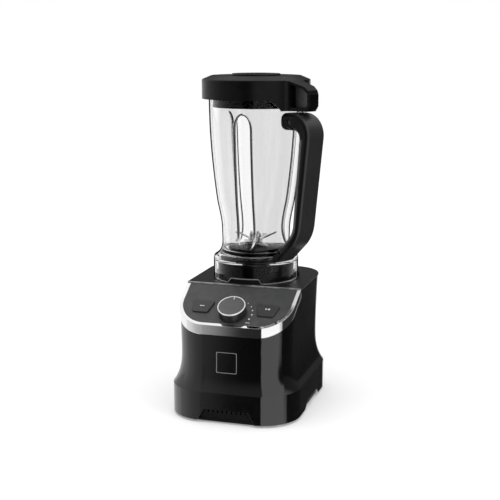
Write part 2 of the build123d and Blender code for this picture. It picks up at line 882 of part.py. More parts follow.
def handle_outline():
    """Side view of the handle: a straight arm above, a leaning grip and a slanting foot below."""
    low = handle_high - handle_arm
    knee = deck_height + handle_knee_rise
    foot = skirt_high + 2.0
    end = jug_rim_radius - handle_end_sink
    face = polygon(
        (end, handle_high),
        (handle_reach, handle_high),
        (handle_knee_reach, knee),
        (skirt_radius - 11.0, foot - 12.0),
        (jug_waist_radius - 5.0, foot),
        (handle_knee_grip, knee + 7.0),
        (handle_grip, low),
        (end, low),
    )
    rounds = (
        (handle_reach, handle_shoulder),
        (handle_knee_reach, handle_knee_round),
        (handle_knee_grip, handle_grip_round),
        (handle_grip, handle_arm_round),
        (end, handle_end_round),
    )
    for reach, radius in rounds:
        face = fillet([v for v in face.vertices() if abs(v.X - reach) < 0.01], radius)
    return face


def handle_solid():
    """The whole handle with rounded edges, hollowed for the jug and its lugs."""
    body = extrude(side_on * handle_outline(), handle_width / 2, both=True)
    flat = [f for f in body.faces() if abs(abs(f.normal_at().dot(side_on.z_dir)) - 1) < 1e-4]
    edges = [e for f in flat for e in f.edges()]
    body = fillet(edges, handle_edge)
    body -= jug_outside(seam)
    for piece in lug(seam):
        body -= piece
    for place in screw_axes():
        body -= place * Cylinder(screw_shank + seam, handle_width + 2.0)
        body -= place * Pos(0, 0, handle_width / 2) * Cylinder(screw_head + 0.6, 9.0)
    return body


def cover_zone(depth, trim):
    """Strip along the grip's inner side that the cover fills."""
    outline = handle_outline()
    strip = outline - Pos(depth, 0) * outline
    low = skirt_high + trim
    high = handle_high - handle_arm - 11.0 - trim
    reach = jug_waist_radius + 20.0 + trim
    return strip & Pos(reach + BIG / 2, (low + high) / 2) * Rectangle(BIG, high - low)


def handle_shell():
    """Outer shell of the handle."""
    return handle_solid() - extrude(side_on * cover_zone(cover_depth, 0), handle_width, both=True)


def handle_cover():
    """Grip cover along the handle's inner side."""
    half = handle_width / 2 - cover_inset
    return handle_solid() & extrude(side_on * cover_zone(cover_depth - seam, seam), half, both=True)


def handle_screws():
    """Screws through the handle's ends into the jug's lugs."""
    screws = []
    for place in screw_axes():
        head = place * Pos(0, 0, handle_width / 2 - 3.3) * Cylinder(screw_head, 2.2)
        screws.append(head + place * Pos(0, 0, 2.0) * Cylinder(screw_shank, handle_width - 12.0))
    return Compound(screws)


def bearing_housing():
    """Black blade base: a domed flange on the jug's floor and a barrel through it."""
    rim = flange_low + flange_rim
    body = turned(
        (0, housing_low),
        (housing_radius, housing_low),
        (housing_radius, flange_low),
        (flange_radius, flange_low),
        (flange_radius, rim - 1.5),
        (flange_radius - 2.0, rim),
        (housing_radius, rim + housing_dome * 0.55),
        (blade_bearing_radius + 2.0, housing_high),
        (0, housing_high),
    )
    body -= disc(blade_bearing_radius + seam, housing_low - 1.0, housing_high - 4.0)
    return body - disc(blade_shaft_radius + 4.0, 0, BIG)


def blade_bearings():
    """Two bearings in the barrel."""
    lows = (housing_low, housing_high - 4.0 - blade_bearing_height)
    size = (blade_bearing_radius, blade_shaft_radius, blade_bearing_height)
    return Compound([bearing(low, *size) for low in lows])


def retaining_nut():
    """Ring nut under the jug's floor, with finger lugs."""
    outline = Circle(nut_radius) - Circle(housing_radius + seam)
    bite = Pos(0, nut_radius + 1.5) * Circle(4.0)
    for step in range(8):
        outline -= Rot(0, 0, step * 45.0) * bite
    return block(outline, jug_under - nut_height, jug_under)


def wing(length, root, tip, bend):
    """One blade wing with a ground edge, bent up or down at its root."""
    outline = polygon((0, -root / 2), (length, -tip / 2), (length - 3.0, tip / 2), (0, root / 2))
    plate = extrude(outline, blade_thick)
    run = Vector(length - 3.0, (tip - root) / 2, 0)
    across = Vector(run.Y, -run.X, 0)
    edge = Plane((0, root / 2, 0), x_dir=across, z_dir=run)
    high = blade_thick + 2.0
    bevel = polygon((-2.0, 0.2 * blade_thick), (3.2, blade_thick), (3.2, high), (-2.0, high))
    flip = edge.y_dir.Z < 0
    bevel = mirror(bevel, Plane.XZ) if flip else bevel
    plate -= extrude(edge * bevel, run.length)
    return Rot(0, -bend, 0) * plate


def blade(low, bend, turn, length, root, tip):
    """Blade with two wings on a round hub."""
    hub = disc(blade_hub, 0, blade_thick)
    one = Pos(blade_hub - 2.0, 0, 0) * wing(length - blade_hub + 2.0, root, tip, bend)
    for half_turn in (0, 180):
        hub += Rot(0, 0, half_turn) * one
    hub -= disc(blade_shaft_radius + 0.02, -20, 20)
    return Pos(0, 0, low) * Rot(0, 0, turn) * hub


blade_step = blade_thick + spacer_height
blade_stack = blade_low + 3 * blade_step


def blade_spacers():
    """Washers under each blade."""
    bore = blade_shaft_radius + 0.02
    outer = blade_hub - 3.6
    bottom = ring(outer, bore, blade_low - 1.6, blade_low)
    lows = [blade_low + step * blade_step + blade_thick for step in range(3)]
    return Compound([bottom] + [ring(outer, bore, z, z + spacer_height) for z in lows])


def blade_nut():
    """Domed cap nut on top of the blades."""
    nut = Pos(0, 0, blade_stack) * extrude(RegularPolygon(blade_shaft_radius + 3.0, 6), nut_cap_height * 0.6)
    nut += Pos(0, 0, blade_stack) * extrude(Circle(blade_shaft_radius + 1.8), nut_cap_height, taper=6.0)
    return nut - disc(blade_shaft_radius + 0.02, 0, blade_stack + nut_cap_height - 2.0)


socket_low = coupling_low + 2.0
socket_high = coupling_low + coupling_height + 0.8 + socket_floor


def blade_shaft():
    """Shaft from the drive socket up to the cap nut."""
    return disc(blade_shaft_radius, socket_high - socket_floor + 0.4, blade_stack + nut_cap_height - 2.5)


def drive_socket():
    """Cup with a lobed socket that drops over the drive coupling."""
    cup = disc(socket_radius, socket_low, socket_high)
    cup = chamfer(cup.edges().group_by(Axis.Z)[0], 1.2)
    cup -= block(star(coupling_radius, coupling_clear), socket_low - 1.0, socket_high - socket_floor)
    return cup - disc(blade_shaft_radius + 0.02, 0, BIG)


def lid_tab():
    """Pull tab over the handle: its top goes on from the lid's slope, and each side has a pocket."""
    reach = tab_reach
    low = apron_bottom
    nose = turned(
        (lid_radius - 1.0, lid_edge),
        (reach - 9.0, lid_edge - 7.5),
        (reach - 2.4, lid_edge - 12.5),
        (reach, lid_edge - 18.0),
        (reach, low + 7.0),
        (reach - 5.5, low),
        (lid_radius - 1.0, low),
    )
    taper = polygon(
        (0, tab_root_half + tab_spread),
        (reach + 5.0, tab_tip_half),
        (reach + 5.0, -tab_tip_half),
        (0, -tab_root_half - tab_spread),
    )
    flow = Circle(lid_radius) + taper
    flow = fillet([v for v in flow.vertices() if 1.0 < v.X < reach], tab_blend)
    flow -= Circle(lid_radius - 1.0)
    flow = flow & Pos(BIG / 2, 0) * Rectangle(BIG, 2 * (tab_root_half + tab_blend))
    tab = nose & block(Rot(0, 0, handle_azimuth - 90) * flow, 0, 2 * BIG)
    window = polygon(
        (lid_radius + 1.6, lid_edge - 4.0),
        (reach - 11.0, lid_edge - 11.0),
        (reach - 4.0, lid_edge - 16.5),
        (reach - 4.0, low + 8.0),
        (reach - 8.0, low + 5.0),
        (lid_radius + 1.6, low + 5.0),
    )
    window = fillet(window.vertices(), 2.5)
    pocket = side_on.offset(tab_web / 2) * extrude(window, BIG)
    tab -= pocket
    return tab - mirror(pocket, side_on)


def lid_body():
    """Lid with its outer skirt, inner plug, filler collar, apron and pull tab."""
    under = jug_top + lid_rim_gap
    inner = lid_radius - lid_wall
    shell = turned(
        (filler_radius, lid_top),
        (lid_plateau, lid_top),
        (lid_radius - 1.0, lid_edge),
        (lid_radius, lid_edge - 1.2),
        (lid_radius, lid_bottom),
        (inner, lid_bottom),
        (inner, under),
        (plug_radius, under),
        (plug_radius, plug_bottom),
        (plug_radius - plug_wall, plug_bottom),
        (plug_radius - plug_wall, lid_top - 7.0),
        (filler_radius + collar_wall, lid_top - 7.0),
        (filler_radius + collar_wall, lid_top - collar_depth),
        (filler_radius, lid_top - collar_depth),
    )
    skirt = trapezoid(apron_half_width, apron_top_half_width, 0, lid_bottom - apron_bottom)
    skirt += Pos(0, lid_bottom - apron_bottom + 1.0) * Rectangle(2 * apron_top_half_width, 2.0)
    apron = Pos(0, 0, apron_bottom) * extrude(Plane.XZ * skirt, BIG / 4)
    apron = Rot(0, 0, handle_azimuth) * apron
    shell += apron & ring(lid_radius, inner, 0, 2 * BIG)
    return shell + lid_tab()


def lid_seal():
    """Soft sleeve round the plug, with a flange on the jug's rim and a lip near its wall."""
    near = plug_radius + seam
    wall = jug_rim_radius - jug_wall - body_clear
    low = plug_bottom - 0.6
    high = jug_top + lid_rim_gap - seam
    return turned(
        (near, low),
        (near + 1.9, low),
        (near + 1.9, low + 1.6),
        (near + 1.3, low + 2.4),
        (near + 1.3, high - 16.0),
        (wall - 0.4, high - 12.0),
        (wall - 0.4, high - 10.5),
        (near + 1.3, high - 11.0),
        (near + 1.3, jug_top + run_clear),
        (jug_rim_radius, jug_top + run_clear),
        (jug_rim_radius, high),
        (near, high),
    )


def filler_cap():
    """Cap that drops into the lid's opening, hollow below as a small measure, dished above."""
    low = lid_top - cap_depth
    outer = filler_radius - 2 * body_clear
    seat = lid_top + seam
    high = seat + cap_thick
    groove = lid_top - 9.0
    return turned(
        (0, high - 1.2),
        (cap_radius - 8.0, high - 1.2),
        (cap_radius - 6.6, high),
        (cap_radius - 1.0, high),
        (cap_radius, high - 0.9),
        (cap_radius, seat),
        (outer, seat),
        (outer, groove),
        (outer - 1.2, groove),
        (outer - 1.2, groove - 3.0),
        (outer, groove - 3.0),
        (outer, low),
        (outer - cap_wall, low),
        (outer - cap_wall, high - 1.2 - cap_wall),
        (0, high - 1.2 - cap_wall),
    )


def cap_seal():
    """Soft ring in the cap's groove."""
    outer = filler_radius - body_clear
    groove = lid_top - 9.0
    return ring(outer, filler_radius - 2 * body_clear - 1.2 + seam, groove - 3.0 + seam, groove - seam)


def main():
    """Write every piece."""
    os.makedirs("parts", exist_ok=True)
    save("base_housing", base_housing())
    save("top_deck", top_deck())
    save("deck_screws", screws(12.0, lug_top - 4.0, lug_places))
    save("trim_band", trim_band())
    save("control_panel", control_panel())
    save("base_plate", base_plate())
    save("feet", feet())
    save("base_screws", screws(18.0, foot_drop + 2.0, boss_places))
    save("cord_gland", cord_gland())
    save("control_board", control_board())
    save("board_screws", board_screws())
    save("speed_encoder", speed_encoder())
    save("button_switches", button_switches())
    save("motor_stator", block(stator_plan(), stator_bottom, stator_top))
    save("field_coils", field_coils())
    arm_top = bracket_low + bracket_thick
    hub_low = arm_top - bearing_height
    save("lower_bracket", bracket(bracket_low, bracket_low, stator_bottom, hub_low, arm_top, hub_low + 1.0))
    arm_top = bracket_high + bracket_thick
    hub_high = bracket_high + bearing_height
    upper = bracket(bracket_high, stator_top, arm_top, bracket_high, hub_high, bracket_high + 1.0)
    save("upper_bracket", upper)
    save("lower_bearing", bearing(hub_low + 1.0, bearing_radius, shaft_radius, bearing_height))
    save("upper_bearing", bearing(bracket_high + 1.0, bearing_radius, shaft_radius, bearing_height))
    save("motor_bolts", motor_bolts())
    save("motor_mounts", motor_mounts())
    save("brush_holders", brush_holders())
    save("carbon_brushes", carbon_brushes())
    save("shaft_seal", shaft_seal())
    save("speed_knob", speed_knob())
    save("knob_ring", knob_ring())
    save("knob_face", knob_face())
    save("knob_spindle", knob_spindle())
    save("pulse_button", push_button(-button_spread))
    save("start_button", push_button(button_spread))
    save("rotor_core", rotor_core())
    save("rotor_windings", rotor_windings())
    save("commutator", commutator())
    save("motor_shaft", motor_shaft())
    save("cooling_fan", cooling_fan())
    save("drive_coupling", drive_coupling())
    save("jug", jug())
    save("handle_shell", handle_shell())
    save("handle_cover", handle_cover())
    save("handle_screws", handle_screws())
    save("bearing_housing", bearing_housing())
    save("housing_gasket", ring(flange_radius - 2.0, hole_radius + seam, jug_floor, flange_low))
    save("retaining_nut", retaining_nut())
    save("blade_bearings", blade_bearings())
    seal = ring(blade_shaft_radius + 3.95, blade_shaft_radius + 0.35, housing_high - 3.6, housing_high)
    save("blade_seal", seal)
    save("blade_lower", blade(blade_low, -9.0, 140.0, blade_span, 13.0, 6.0))
    save("blade_middle", blade(blade_low + blade_step, 9.0, 80.0, blade_span, 12.0, 5.5))
    save("blade_upper", blade(blade_low + 2 * blade_step, 20.0, 20.0, blade_span, 12.0, 5.0))
    save("blade_spacers", blade_spacers())
    save("blade_nut", blade_nut())
    save("blade_shaft", blade_shaft())
    save("drive_socket", drive_socket())
    save("lid_body", lid_body())
    save("lid_seal", lid_seal())
    save("filler_cap", filler_cap())
    save("cap_seal", cap_seal())


main()
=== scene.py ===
import json
import math

import bmesh
import bpy
import numpy as np
from mathutils import Matrix, Vector


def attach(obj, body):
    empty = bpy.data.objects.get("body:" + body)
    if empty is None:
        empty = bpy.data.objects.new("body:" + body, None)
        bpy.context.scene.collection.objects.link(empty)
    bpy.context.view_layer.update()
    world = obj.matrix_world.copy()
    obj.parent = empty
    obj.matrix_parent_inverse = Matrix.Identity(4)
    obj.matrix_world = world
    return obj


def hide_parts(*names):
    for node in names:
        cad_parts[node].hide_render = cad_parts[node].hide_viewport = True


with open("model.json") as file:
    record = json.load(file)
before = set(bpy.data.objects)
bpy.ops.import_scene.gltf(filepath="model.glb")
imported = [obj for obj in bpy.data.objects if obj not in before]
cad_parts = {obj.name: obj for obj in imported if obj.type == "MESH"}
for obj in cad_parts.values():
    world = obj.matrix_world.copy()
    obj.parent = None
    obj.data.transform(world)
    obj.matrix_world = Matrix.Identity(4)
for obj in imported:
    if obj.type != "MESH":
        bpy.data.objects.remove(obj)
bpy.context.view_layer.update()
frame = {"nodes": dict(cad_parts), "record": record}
nodes = frame["nodes"]

MM = 0.001
SLOPE = math.radians(28.4)
PANEL_OUT = Vector((0.0, -math.sin(SLOPE), math.cos(SLOPE)))
PANEL_UP = Vector((0.0, math.cos(SLOPE), math.sin(SLOPE)))
HANDLE_AZIMUTH = math.radians(61.0)
HANDLE_OUT = Vector((math.sin(HANDLE_AZIMUTH), -math.cos(HANDLE_AZIMUTH), 0.0))
HANDLE_SIDE = Vector((-math.cos(HANDLE_AZIMUTH), -math.sin(HANDLE_AZIMUTH), 0.0))
RIGHT = Vector((1.0, 0.0, 0.0))
FRONT = Vector((0.0, -1.0, 0.0))
UP = Vector((0.0, 0.0, 1.0))


# Node helpers

UNIT = (0.0, 1.0)
NOISE_RANGE = (0.3, 0.7)
EDGE_RANGE = (0.52, 0.6)
BEVEL_SAMPLES = 6
MIX_COLOURS = (6, 7)
MIX_RESULT = 2
NEW_STOP = 0.5


class Nodes:
    """Short calls that add nodes to a tree and give back an output."""

    def __init__(self, tree):
        self.tree = tree

    def add(self, kind, **settings):
        node = self.tree.nodes.new(kind)
        for name, value in settings.items():
            setattr(node, name, value)
        return node

    def feed(self, socket, value):
        """Link an output to a socket, or set the socket to a number or a colour."""
        if isinstance(value, bpy.types.NodeSocket):
            self.tree.links.new(value, socket)
        elif isinstance(value, (int, float)):
            socket.default_value = value
        else:
            socket.default_value = (*value, 1.0)

    def math(self, operation, *values):
        node = self.add("ShaderNodeMath", operation=operation)
        for socket, value in zip(node.inputs, values):
            self.feed(socket, value)
        return node.outputs["Value"]

    def product(self, first, *others):
        for other in others:
            first = self.math("MULTIPLY", first, other)
        return first

    def larger(self, a, b):
        return self.math("MAXIMUM", a, b)

    def inverse(self, value):
        return self.math("SUBTRACT", 1.0, value)

    def blend(self, factor, a, b):
        """Mix two values by a factor."""
        return self.math("ADD", self.product(self.inverse(factor), a), self.product(factor, b))

    def spread(self, value, low, high, source=NOISE_RANGE):
        """Map a value to a range, from the range of noise or another source."""
        node = self.add("ShaderNodeMapRange")
        names = ("From Min", "From Max", "To Min", "To Max")
        for name, number in zip(names, (*source, low, high)):
            node.inputs[name].default_value = number
        self.feed(node.inputs["Value"], value)
        return node.outputs["Result"]

    def rise(self, value, limits=NOISE_RANGE):
        """0 below two limits and 1 above them."""
        return self.spread(value, 0.0, 1.0, limits)

    def fall(self, value, limits):
        """1 below two limits and 0 above them."""
        return self.spread(value, 1.0, 0.0, limits)

    def ramp(self, value, stops):
        """Grey ramp from (place, grey) stops."""
        node = self.add("ShaderNodeValToRGB")
        elements = node.color_ramp.elements
        while len(elements) < len(stops):
            elements.new(NEW_STOP)
        for element, (place, grey) in zip(elements, stops):
            element.position = place
            element.color = (grey, grey, grey, 1.0)
        self.feed(node.inputs["Fac"], value)
        return node.outputs["Color"]

    def mix(self, factor, a, b):
        """Mix two colours by a factor."""
        node = self.add("ShaderNodeMix", data_type="RGBA")
        self.feed(node.inputs["Factor"], factor)
        for index, colour in zip(MIX_COLOURS, (a, b)):
            self.feed(node.inputs[index], colour)
        return node.outputs[MIX_RESULT]

    def pick(self, factor, a, b):
        """Mix two shaders by a factor."""
        node = self.add("ShaderNodeMixShader")
        for socket, value in zip(node.inputs, (factor, a, b)):
            self.feed(socket, value)
        return node.outputs["Shader"]


class Shader(Nodes):
    """A material with one Principled shader and short calls for what feeds it."""

    def __init__(self, name, **sockets):
        self.material = bpy.data.materials.new(name)
        self.material.use_nodes = True
        super().__init__(self.material.node_tree)
        self.main = self.tree.nodes["Principled BSDF"]
        self.coords = self.add("ShaderNodeTexCoord")
        for socket, value in sockets.items():
            self.main.inputs[socket.replace("_", " ")].default_value = value

    def to(self, socket, value):
        self.feed(self.main.inputs[socket], value)

    def noise(self, scale, detail=2.0, rough=0.5, stretch=None):
        """Noise in the part's own coordinates, with an optional stretch along the axes."""
        source = self.coords.outputs["Object"]
        if stretch:
            mapping = self.add("ShaderNodeMapping")
            mapping.inputs["Scale"].default_value = stretch
            self.feed(mapping.inputs["Vector"], source)
            source = mapping.outputs["Vector"]
        node = self.add("ShaderNodeTexNoise")
        settings = {"Vector": source, "Scale": scale, "Detail": detail, "Roughness": rough}
        for name, value in settings.items():
            self.feed(node.inputs[name], value)
        return node.outputs["Fac"]

    def dot(self, coordinate, direction):
        """A part's own coordinate or normal measured along a direction."""
        node = self.add("ShaderNodeVectorMath", operation="DOT_PRODUCT")
        self.feed(node.inputs[0], self.coords.outputs[coordinate])
        node.inputs[1].default_value = direction
        return node.outputs["Value"]

    def attribute(self, layer):
        """A value that the mesh holds at its points."""
        return self.add("ShaderNodeAttribute", attribute_name=layer).outputs["Fac"]

    def geometry(self, output):
        return self.add("ShaderNodeNewGeometry").outputs[output]

    def edges(self):
        """Nearly 0 on flats and hollows, 1 on sharp outer edges."""
        return self.ramp(self.geometry("Pointiness"), tuple(zip(EDGE_RANGE, UNIT)))

    def bump(self, height, strength, distance, edge=0.0):
        """Surface grain over edges that are softened by a small radius."""
        node = self.add("ShaderNodeBump")
        node.inputs["Strength"].default_value = strength
        node.inputs["Distance"].default_value = distance
        self.feed(node.inputs["Height"], height)
        if edge:
            bevel = self.add("ShaderNodeBevel", samples=BEVEL_SAMPLES)
            bevel.inputs["Radius"].default_value = edge
            self.feed(node.inputs["Normal"], bevel.outputs["Normal"])
        self.to("Normal", node.outputs["Normal"])


# Masks for stretches of a surface with their own finish, and for painted highlights, painted light and
# painted shade: heights and places in metres, turns as cosines

PLATE_TOP = (0.1755, 0.1765)
DECK_LIP_FRONT = (0.0604, 0.0606)
DECK_LIP_BOTTOM = (0.15, 0.16)
DECK_LIP_TOP = (0.1748, 0.1756)
FLANK_TURN = (0.45, 0.75)
WEB_HALF = (0.002, 0.003)
WEB_TURN = (0.8, 0.95)
WEB_REACH = (0.07, 0.102)
BAND_TURN = (0.9, 0.98)
BAND_ENDS = (0.153, 0.159)


def pedestal(shader):
    """The deck's faces above its own plate."""
    return shader.rise(shader.dot("Object", UP), PLATE_TOP)


def deck_lip(shader):
    """The deck's narrow front face over the panel, where a pale line is painted as a highlight."""
    height = shader.dot("Object", UP)
    ahead = shader.rise(shader.dot("Object", FRONT), DECK_LIP_FRONT)
    return shader.product(ahead, shader.rise(height, DECK_LIP_BOTTOM), shader.fall(height, DECK_LIP_TOP))


def aside(shader, coordinate):
    """A coordinate or normal measured to either side of the handle's middle plane."""
    return shader.math("ABSOLUTE", shader.dot(coordinate, HANDLE_SIDE))


def handle_flanks(shader):
    """The handle's two flat sides, which get painted shade: darker and less glossy."""
    return shader.rise(aside(shader, "Normal"), FLANK_TURN)


def tab_pockets(shader):
    """The wall between the pockets of the lid's tab, where painted light makes it paler away from the axis.
    """
    thin = shader.fall(aside(shader, "Object"), WEB_HALF)
    flat = shader.rise(aside(shader, "Normal"), WEB_TURN)
    return shader.product(thin, flat, shader.rise(shader.dot("Object", HANDLE_OUT), WEB_REACH))


def band_face(shader):
    """The upper ends of the band's narrow face that lies level with the panel, where a painted highlight
    goes.
    """
    level = shader.rise(shader.dot("Normal", PANEL_OUT), BAND_TURN)
    return shader.product(level, shader.rise(shader.dot("Object", UP), BAND_ENDS))


# Kinds of material, with noises as a scale, a detail and, for the streaks of painted shade, a roughness

CLOUD_NOISE = (30.0, 4.0)
CLOUD_PALE = 1.12
WORN_NOISE = (90.0, 3.0)
WORN_SHARE = (0.1, 0.8)
WORN_PALE = 1.5
WORN_LIFT = 0.002
GLOSS_NOISE = (51.0, 5.0)
GRAIN_DETAIL = 3.0
GRAIN_ROUGH = 0.6
GRAIN_STRENGTH = 0.35

EVEN = (1.0, 1.0, 1.0)
LINE_DETAIL = 4.0
LINE_ROUGH = 0.7
LINE_DULL = 0.9
LINE_STRENGTH = 0.2
POLISH_NOISE = (60.0, 4.0)
# Metallic weight where metal gets a painted highlight
HIGHLIGHT_BARE = 0.3

CLEAR_IOR = 1.49
CLEAR_SHEEN = (0.2, 0.2, 0.2, 1.0)
CLEAR_TINT = (0.99, 0.99, 0.99)
# Painted shade on the clear jug: grey over its plain wall, near-black lines at outlines and flute edges
PAINTED_SHADE_GREY = (0.58, 0.58, 0.58)
PAINTED_DARK_LINE = (0.004, 0.004, 0.004)
OUTLINE_TURN = (0.7, 0.78)
RIDGE_TURN = (0.36, 0.54)
FLUTE_LIP = (0.25, 0.7)
FLUTE_DRAWN = 0.35
GREY_TURN = (0.34, 0.48)
FAR_STEEPER = 2.6
FAR_GREY = 0.2
SHADE_STREAK_NOISE = (85.0, 2.0, 0.5)
SHADE_STREAK_STRETCH = (1.0, 1.0, 0.025)
SHADE_STREAK_SHARE = (0.8, 1.2)
CLEAR_SPECULAR = 0.5
HAZE_NOISE = (25.0, 4.0)
HAZE = 0.012
WAVE_NOISE = (14.0, 2.0)
WAVE_STRENGTH = 0.02
WAVE_DEPTH = 0.0002

INK_NOISE = (900.0, 3.0)
INK_ROUGH = 0.55
INK_THIN = 0.85


def moulded(name, colour, rough, grain, depth, vary=0.06, edge=0.0006, gloss=0.5, parts=(), **sockets):
    """Moulded plastic: grain, uneven gloss and soft edges that are a little worn.

    Parts of the surface get their own colour and gloss, for a finish of their own and for painted
    highlight, painted light and painted shade: a function that gives the mask, a colour and a gloss.
    """
    shader = Shader(name, Specular_IOR_Level=gloss, **sockets)
    cloud = shader.rise(shader.noise(*CLOUD_NOISE))
    base = shader.mix(cloud, colour, [c * CLOUD_PALE for c in colour])
    for mask_of, part_colour, part_gloss in parts:
        mask = mask_of(shader)
        base = shader.mix(mask, base, part_colour)
        gloss = shader.blend(mask, gloss, part_gloss)
        shader.to("Specular IOR Level", gloss)
    pale = [min(1.0, c * WORN_PALE + WORN_LIFT) for c in colour]
    patchy = shader.product(shader.edges(), shader.spread(shader.noise(*WORN_NOISE), *WORN_SHARE))
    shader.to("Base Color", shader.mix(patchy, base, pale))
    shader.to("Roughness", shader.spread(shader.noise(*GLOSS_NOISE), rough - vary, rough + vary))
    shader.bump(shader.noise(grain, GRAIN_DETAIL, GRAIN_ROUGH), GRAIN_STRENGTH, depth, edge)
    return shader.material


def metal(
    name, colour, rough, scale, stretch=EVEN, depth=0.00002, vary=0.08, edge=0.0004, bare=1.0, painted_highlight=None
):
    """Metal with a fine texture, drawn into lines by its stretch, and a painted highlight where a mask says
    so: less bare there, so its pale colour shows.
    """
    shader = Shader(name, Metallic=bare)
    if painted_highlight:
        shader.to("Metallic", shader.blend(painted_highlight(shader), bare, HIGHLIGHT_BARE))
    lines = shader.noise(scale, LINE_DETAIL, LINE_ROUGH, stretch)
    shader.to("Base Color", shader.mix(shader.rise(lines), [c * LINE_DULL for c in colour], colour))
    shader.to("Roughness", shader.spread(shader.noise(*POLISH_NOISE), rough - vary, rough + vary))
    shader.bump(lines, LINE_STRENGTH, depth, edge)
    return shader.material


def clear(name):
    """Clear moulded plastic with painted grey shade in streaks, and opaque painted dark lines at its
    outlines and the flutes' edges.
    """
    shader = Shader(name, IOR=CLEAR_IOR, Specular_Tint=CLEAR_SHEEN)
    lip, rim, outside, flute = [shader.attribute(layer) for layer in ("lip", "rim", "outside", "flute")]
    facing = shader.add("ShaderNodeLayerWeight").outputs["Facing"]
    hidden = shader.geometry("Backfacing")
    near = shader.product(outside, shader.inverse(hidden))
    behind = shader.product(hidden, shader.inverse(outside))
    seen_inside = shader.inverse(shader.larger(outside, hidden))
    drawn = shader.larger(near, shader.spread(flute, FLUTE_DRAWN, 1.0, UNIT))
    outline = shader.product(shader.rise(facing, OUTLINE_TURN), drawn)
    ridge = shader.product(shader.rise(facing, RIDGE_TURN), flute, seen_inside)
    border = shader.product(shader.rise(lip, FLUTE_LIP), shader.math("ADD", near, behind))
    line = shader.larger(shader.larger(outline, ridge), border)
    steep = shader.product(facing, shader.spread(hidden, 1.0, FAR_STEEPER, UNIT))
    plain = shader.product(shader.fall(steep, GREY_TURN), shader.math("SUBTRACT", outside, flute))
    shade_streaks = shader.spread(shader.noise(*SHADE_STREAK_NOISE, SHADE_STREAK_STRETCH), *SHADE_STREAK_SHARE)
    grey = shader.product(plain, shade_streaks, shader.spread(hidden, 1.0, FAR_GREY, UNIT))
    # Painted shade in the base colour: streaked grey, and near-black painted lines that are opaque and
    # matte
    shader.to("Base Color", shader.mix(line, shader.mix(grey, CLEAR_TINT, PAINTED_SHADE_GREY), PAINTED_DARK_LINE))
    shader.to("Transmission Weight", shader.inverse(shader.larger(line, rim)))
    shader.to("Specular IOR Level", shader.spread(line, CLEAR_SPECULAR, 0.0, UNIT))
    shader.to("Roughness", shader.spread(shader.noise(*HAZE_NOISE), 0.0, HAZE))
    shader.bump(shader.noise(*WAVE_NOISE), WAVE_STRENGTH, WAVE_DEPTH)
    return shader.material


def printed(name, grey):
    """Pad-printed ink, slightly uneven."""
    shader = Shader(name, Roughness=INK_ROUGH)
    stops = tuple(zip(NOISE_RANGE, (grey * INK_THIN, grey)))
    shader.to("Base Color", shader.ramp(shader.noise(*INK_NOISE), stops))
    return shader.material


# Materials: one for each slot of the record, and the inks

PEDESTAL_FINISH = (pedestal, (0.004, 0.004, 0.004), 0.04)
# Painted highlight: a pale line on the deck's front lip
LIP_PAINTED_HIGHLIGHT = (deck_lip, (0.5, 0.5, 0.5), 0.5)
# Painted shade: the handle's flat sides darker and less glossy
FLANK_PAINTED_SHADE = (handle_flanks, (0.004, 0.004, 0.004), 0.12)
# Painted light: the web in the lid tab's pockets paler, more so away from the axis
POCKET_PAINTED_LIGHT = (tab_pockets, (0.11, 0.11, 0.11), 0.4)

PLASTICS = {
    "housing_black": dict(
        colour=(0.0018, 0.0018, 0.0019), rough=0.06, grain=1500.0, depth=0.000002, vary=0.012, IOR=1.7
    ),
    "deck_black": dict(
        colour=(0.004, 0.004, 0.0041), rough=0.36, grain=2600.0, depth=0.00003,
        edge=0.002, gloss=0.32, parts=(PEDESTAL_FINISH, LIP_PAINTED_HIGHLIGHT),
    ),
    "panel_grey": dict(colour=(0.038, 0.038, 0.0387), rough=0.5, grain=3200.0, depth=0.00012),
    "knob_black": dict(colour=(0.012, 0.012, 0.012), rough=0.36, grain=1800.0, depth=0.00004),
    "button_black": dict(colour=(0.03, 0.03, 0.031), rough=0.45, grain=3000.0, depth=0.0001),
    "rubber_black": dict(colour=(0.008, 0.008, 0.008), rough=0.6, grain=2400.0, depth=0.0001, gloss=0.1),
    "gasket_grey": dict(colour=(0.3, 0.3, 0.3), rough=0.6, grain=2400.0, depth=0.0001),
    "board_green": dict(colour=(0.02, 0.12, 0.05), rough=0.35, grain=900.0, depth=0.00004),
    "part_black": dict(colour=(0.02, 0.02, 0.02), rough=0.45, grain=2000.0, depth=0.00008),
    "screw_black": dict(colour=(0.01, 0.01, 0.01), rough=0.35, grain=1500.0, depth=0.00004),
    "carbon": dict(colour=(0.02, 0.02, 0.02), rough=0.6, grain=2600.0, depth=0.0001),
    "handle_black": dict(
        colour=(0.018, 0.018, 0.0183), rough=0.36, grain=2400.0, depth=0.00006, parts=(FLANK_PAINTED_SHADE,)
    ),
    "handle_grey": dict(colour=(0.07, 0.07, 0.072), rough=0.5, grain=2400.0, depth=0.0001),
    "unit_black": dict(colour=(0.005, 0.005, 0.005), rough=0.2, grain=1500.0, depth=0.00003, gloss=0.12),
    "lid_black": dict(
        colour=(0.0022, 0.0022, 0.0023), rough=0.28, grain=2800.0, depth=0.00004,
        gloss=0.12, parts=(POCKET_PAINTED_LIGHT,),
    ),
    "cap_black": dict(colour=(0.006, 0.006, 0.0061), rough=0.4, grain=2800.0, depth=0.00006, gloss=0.2),
}
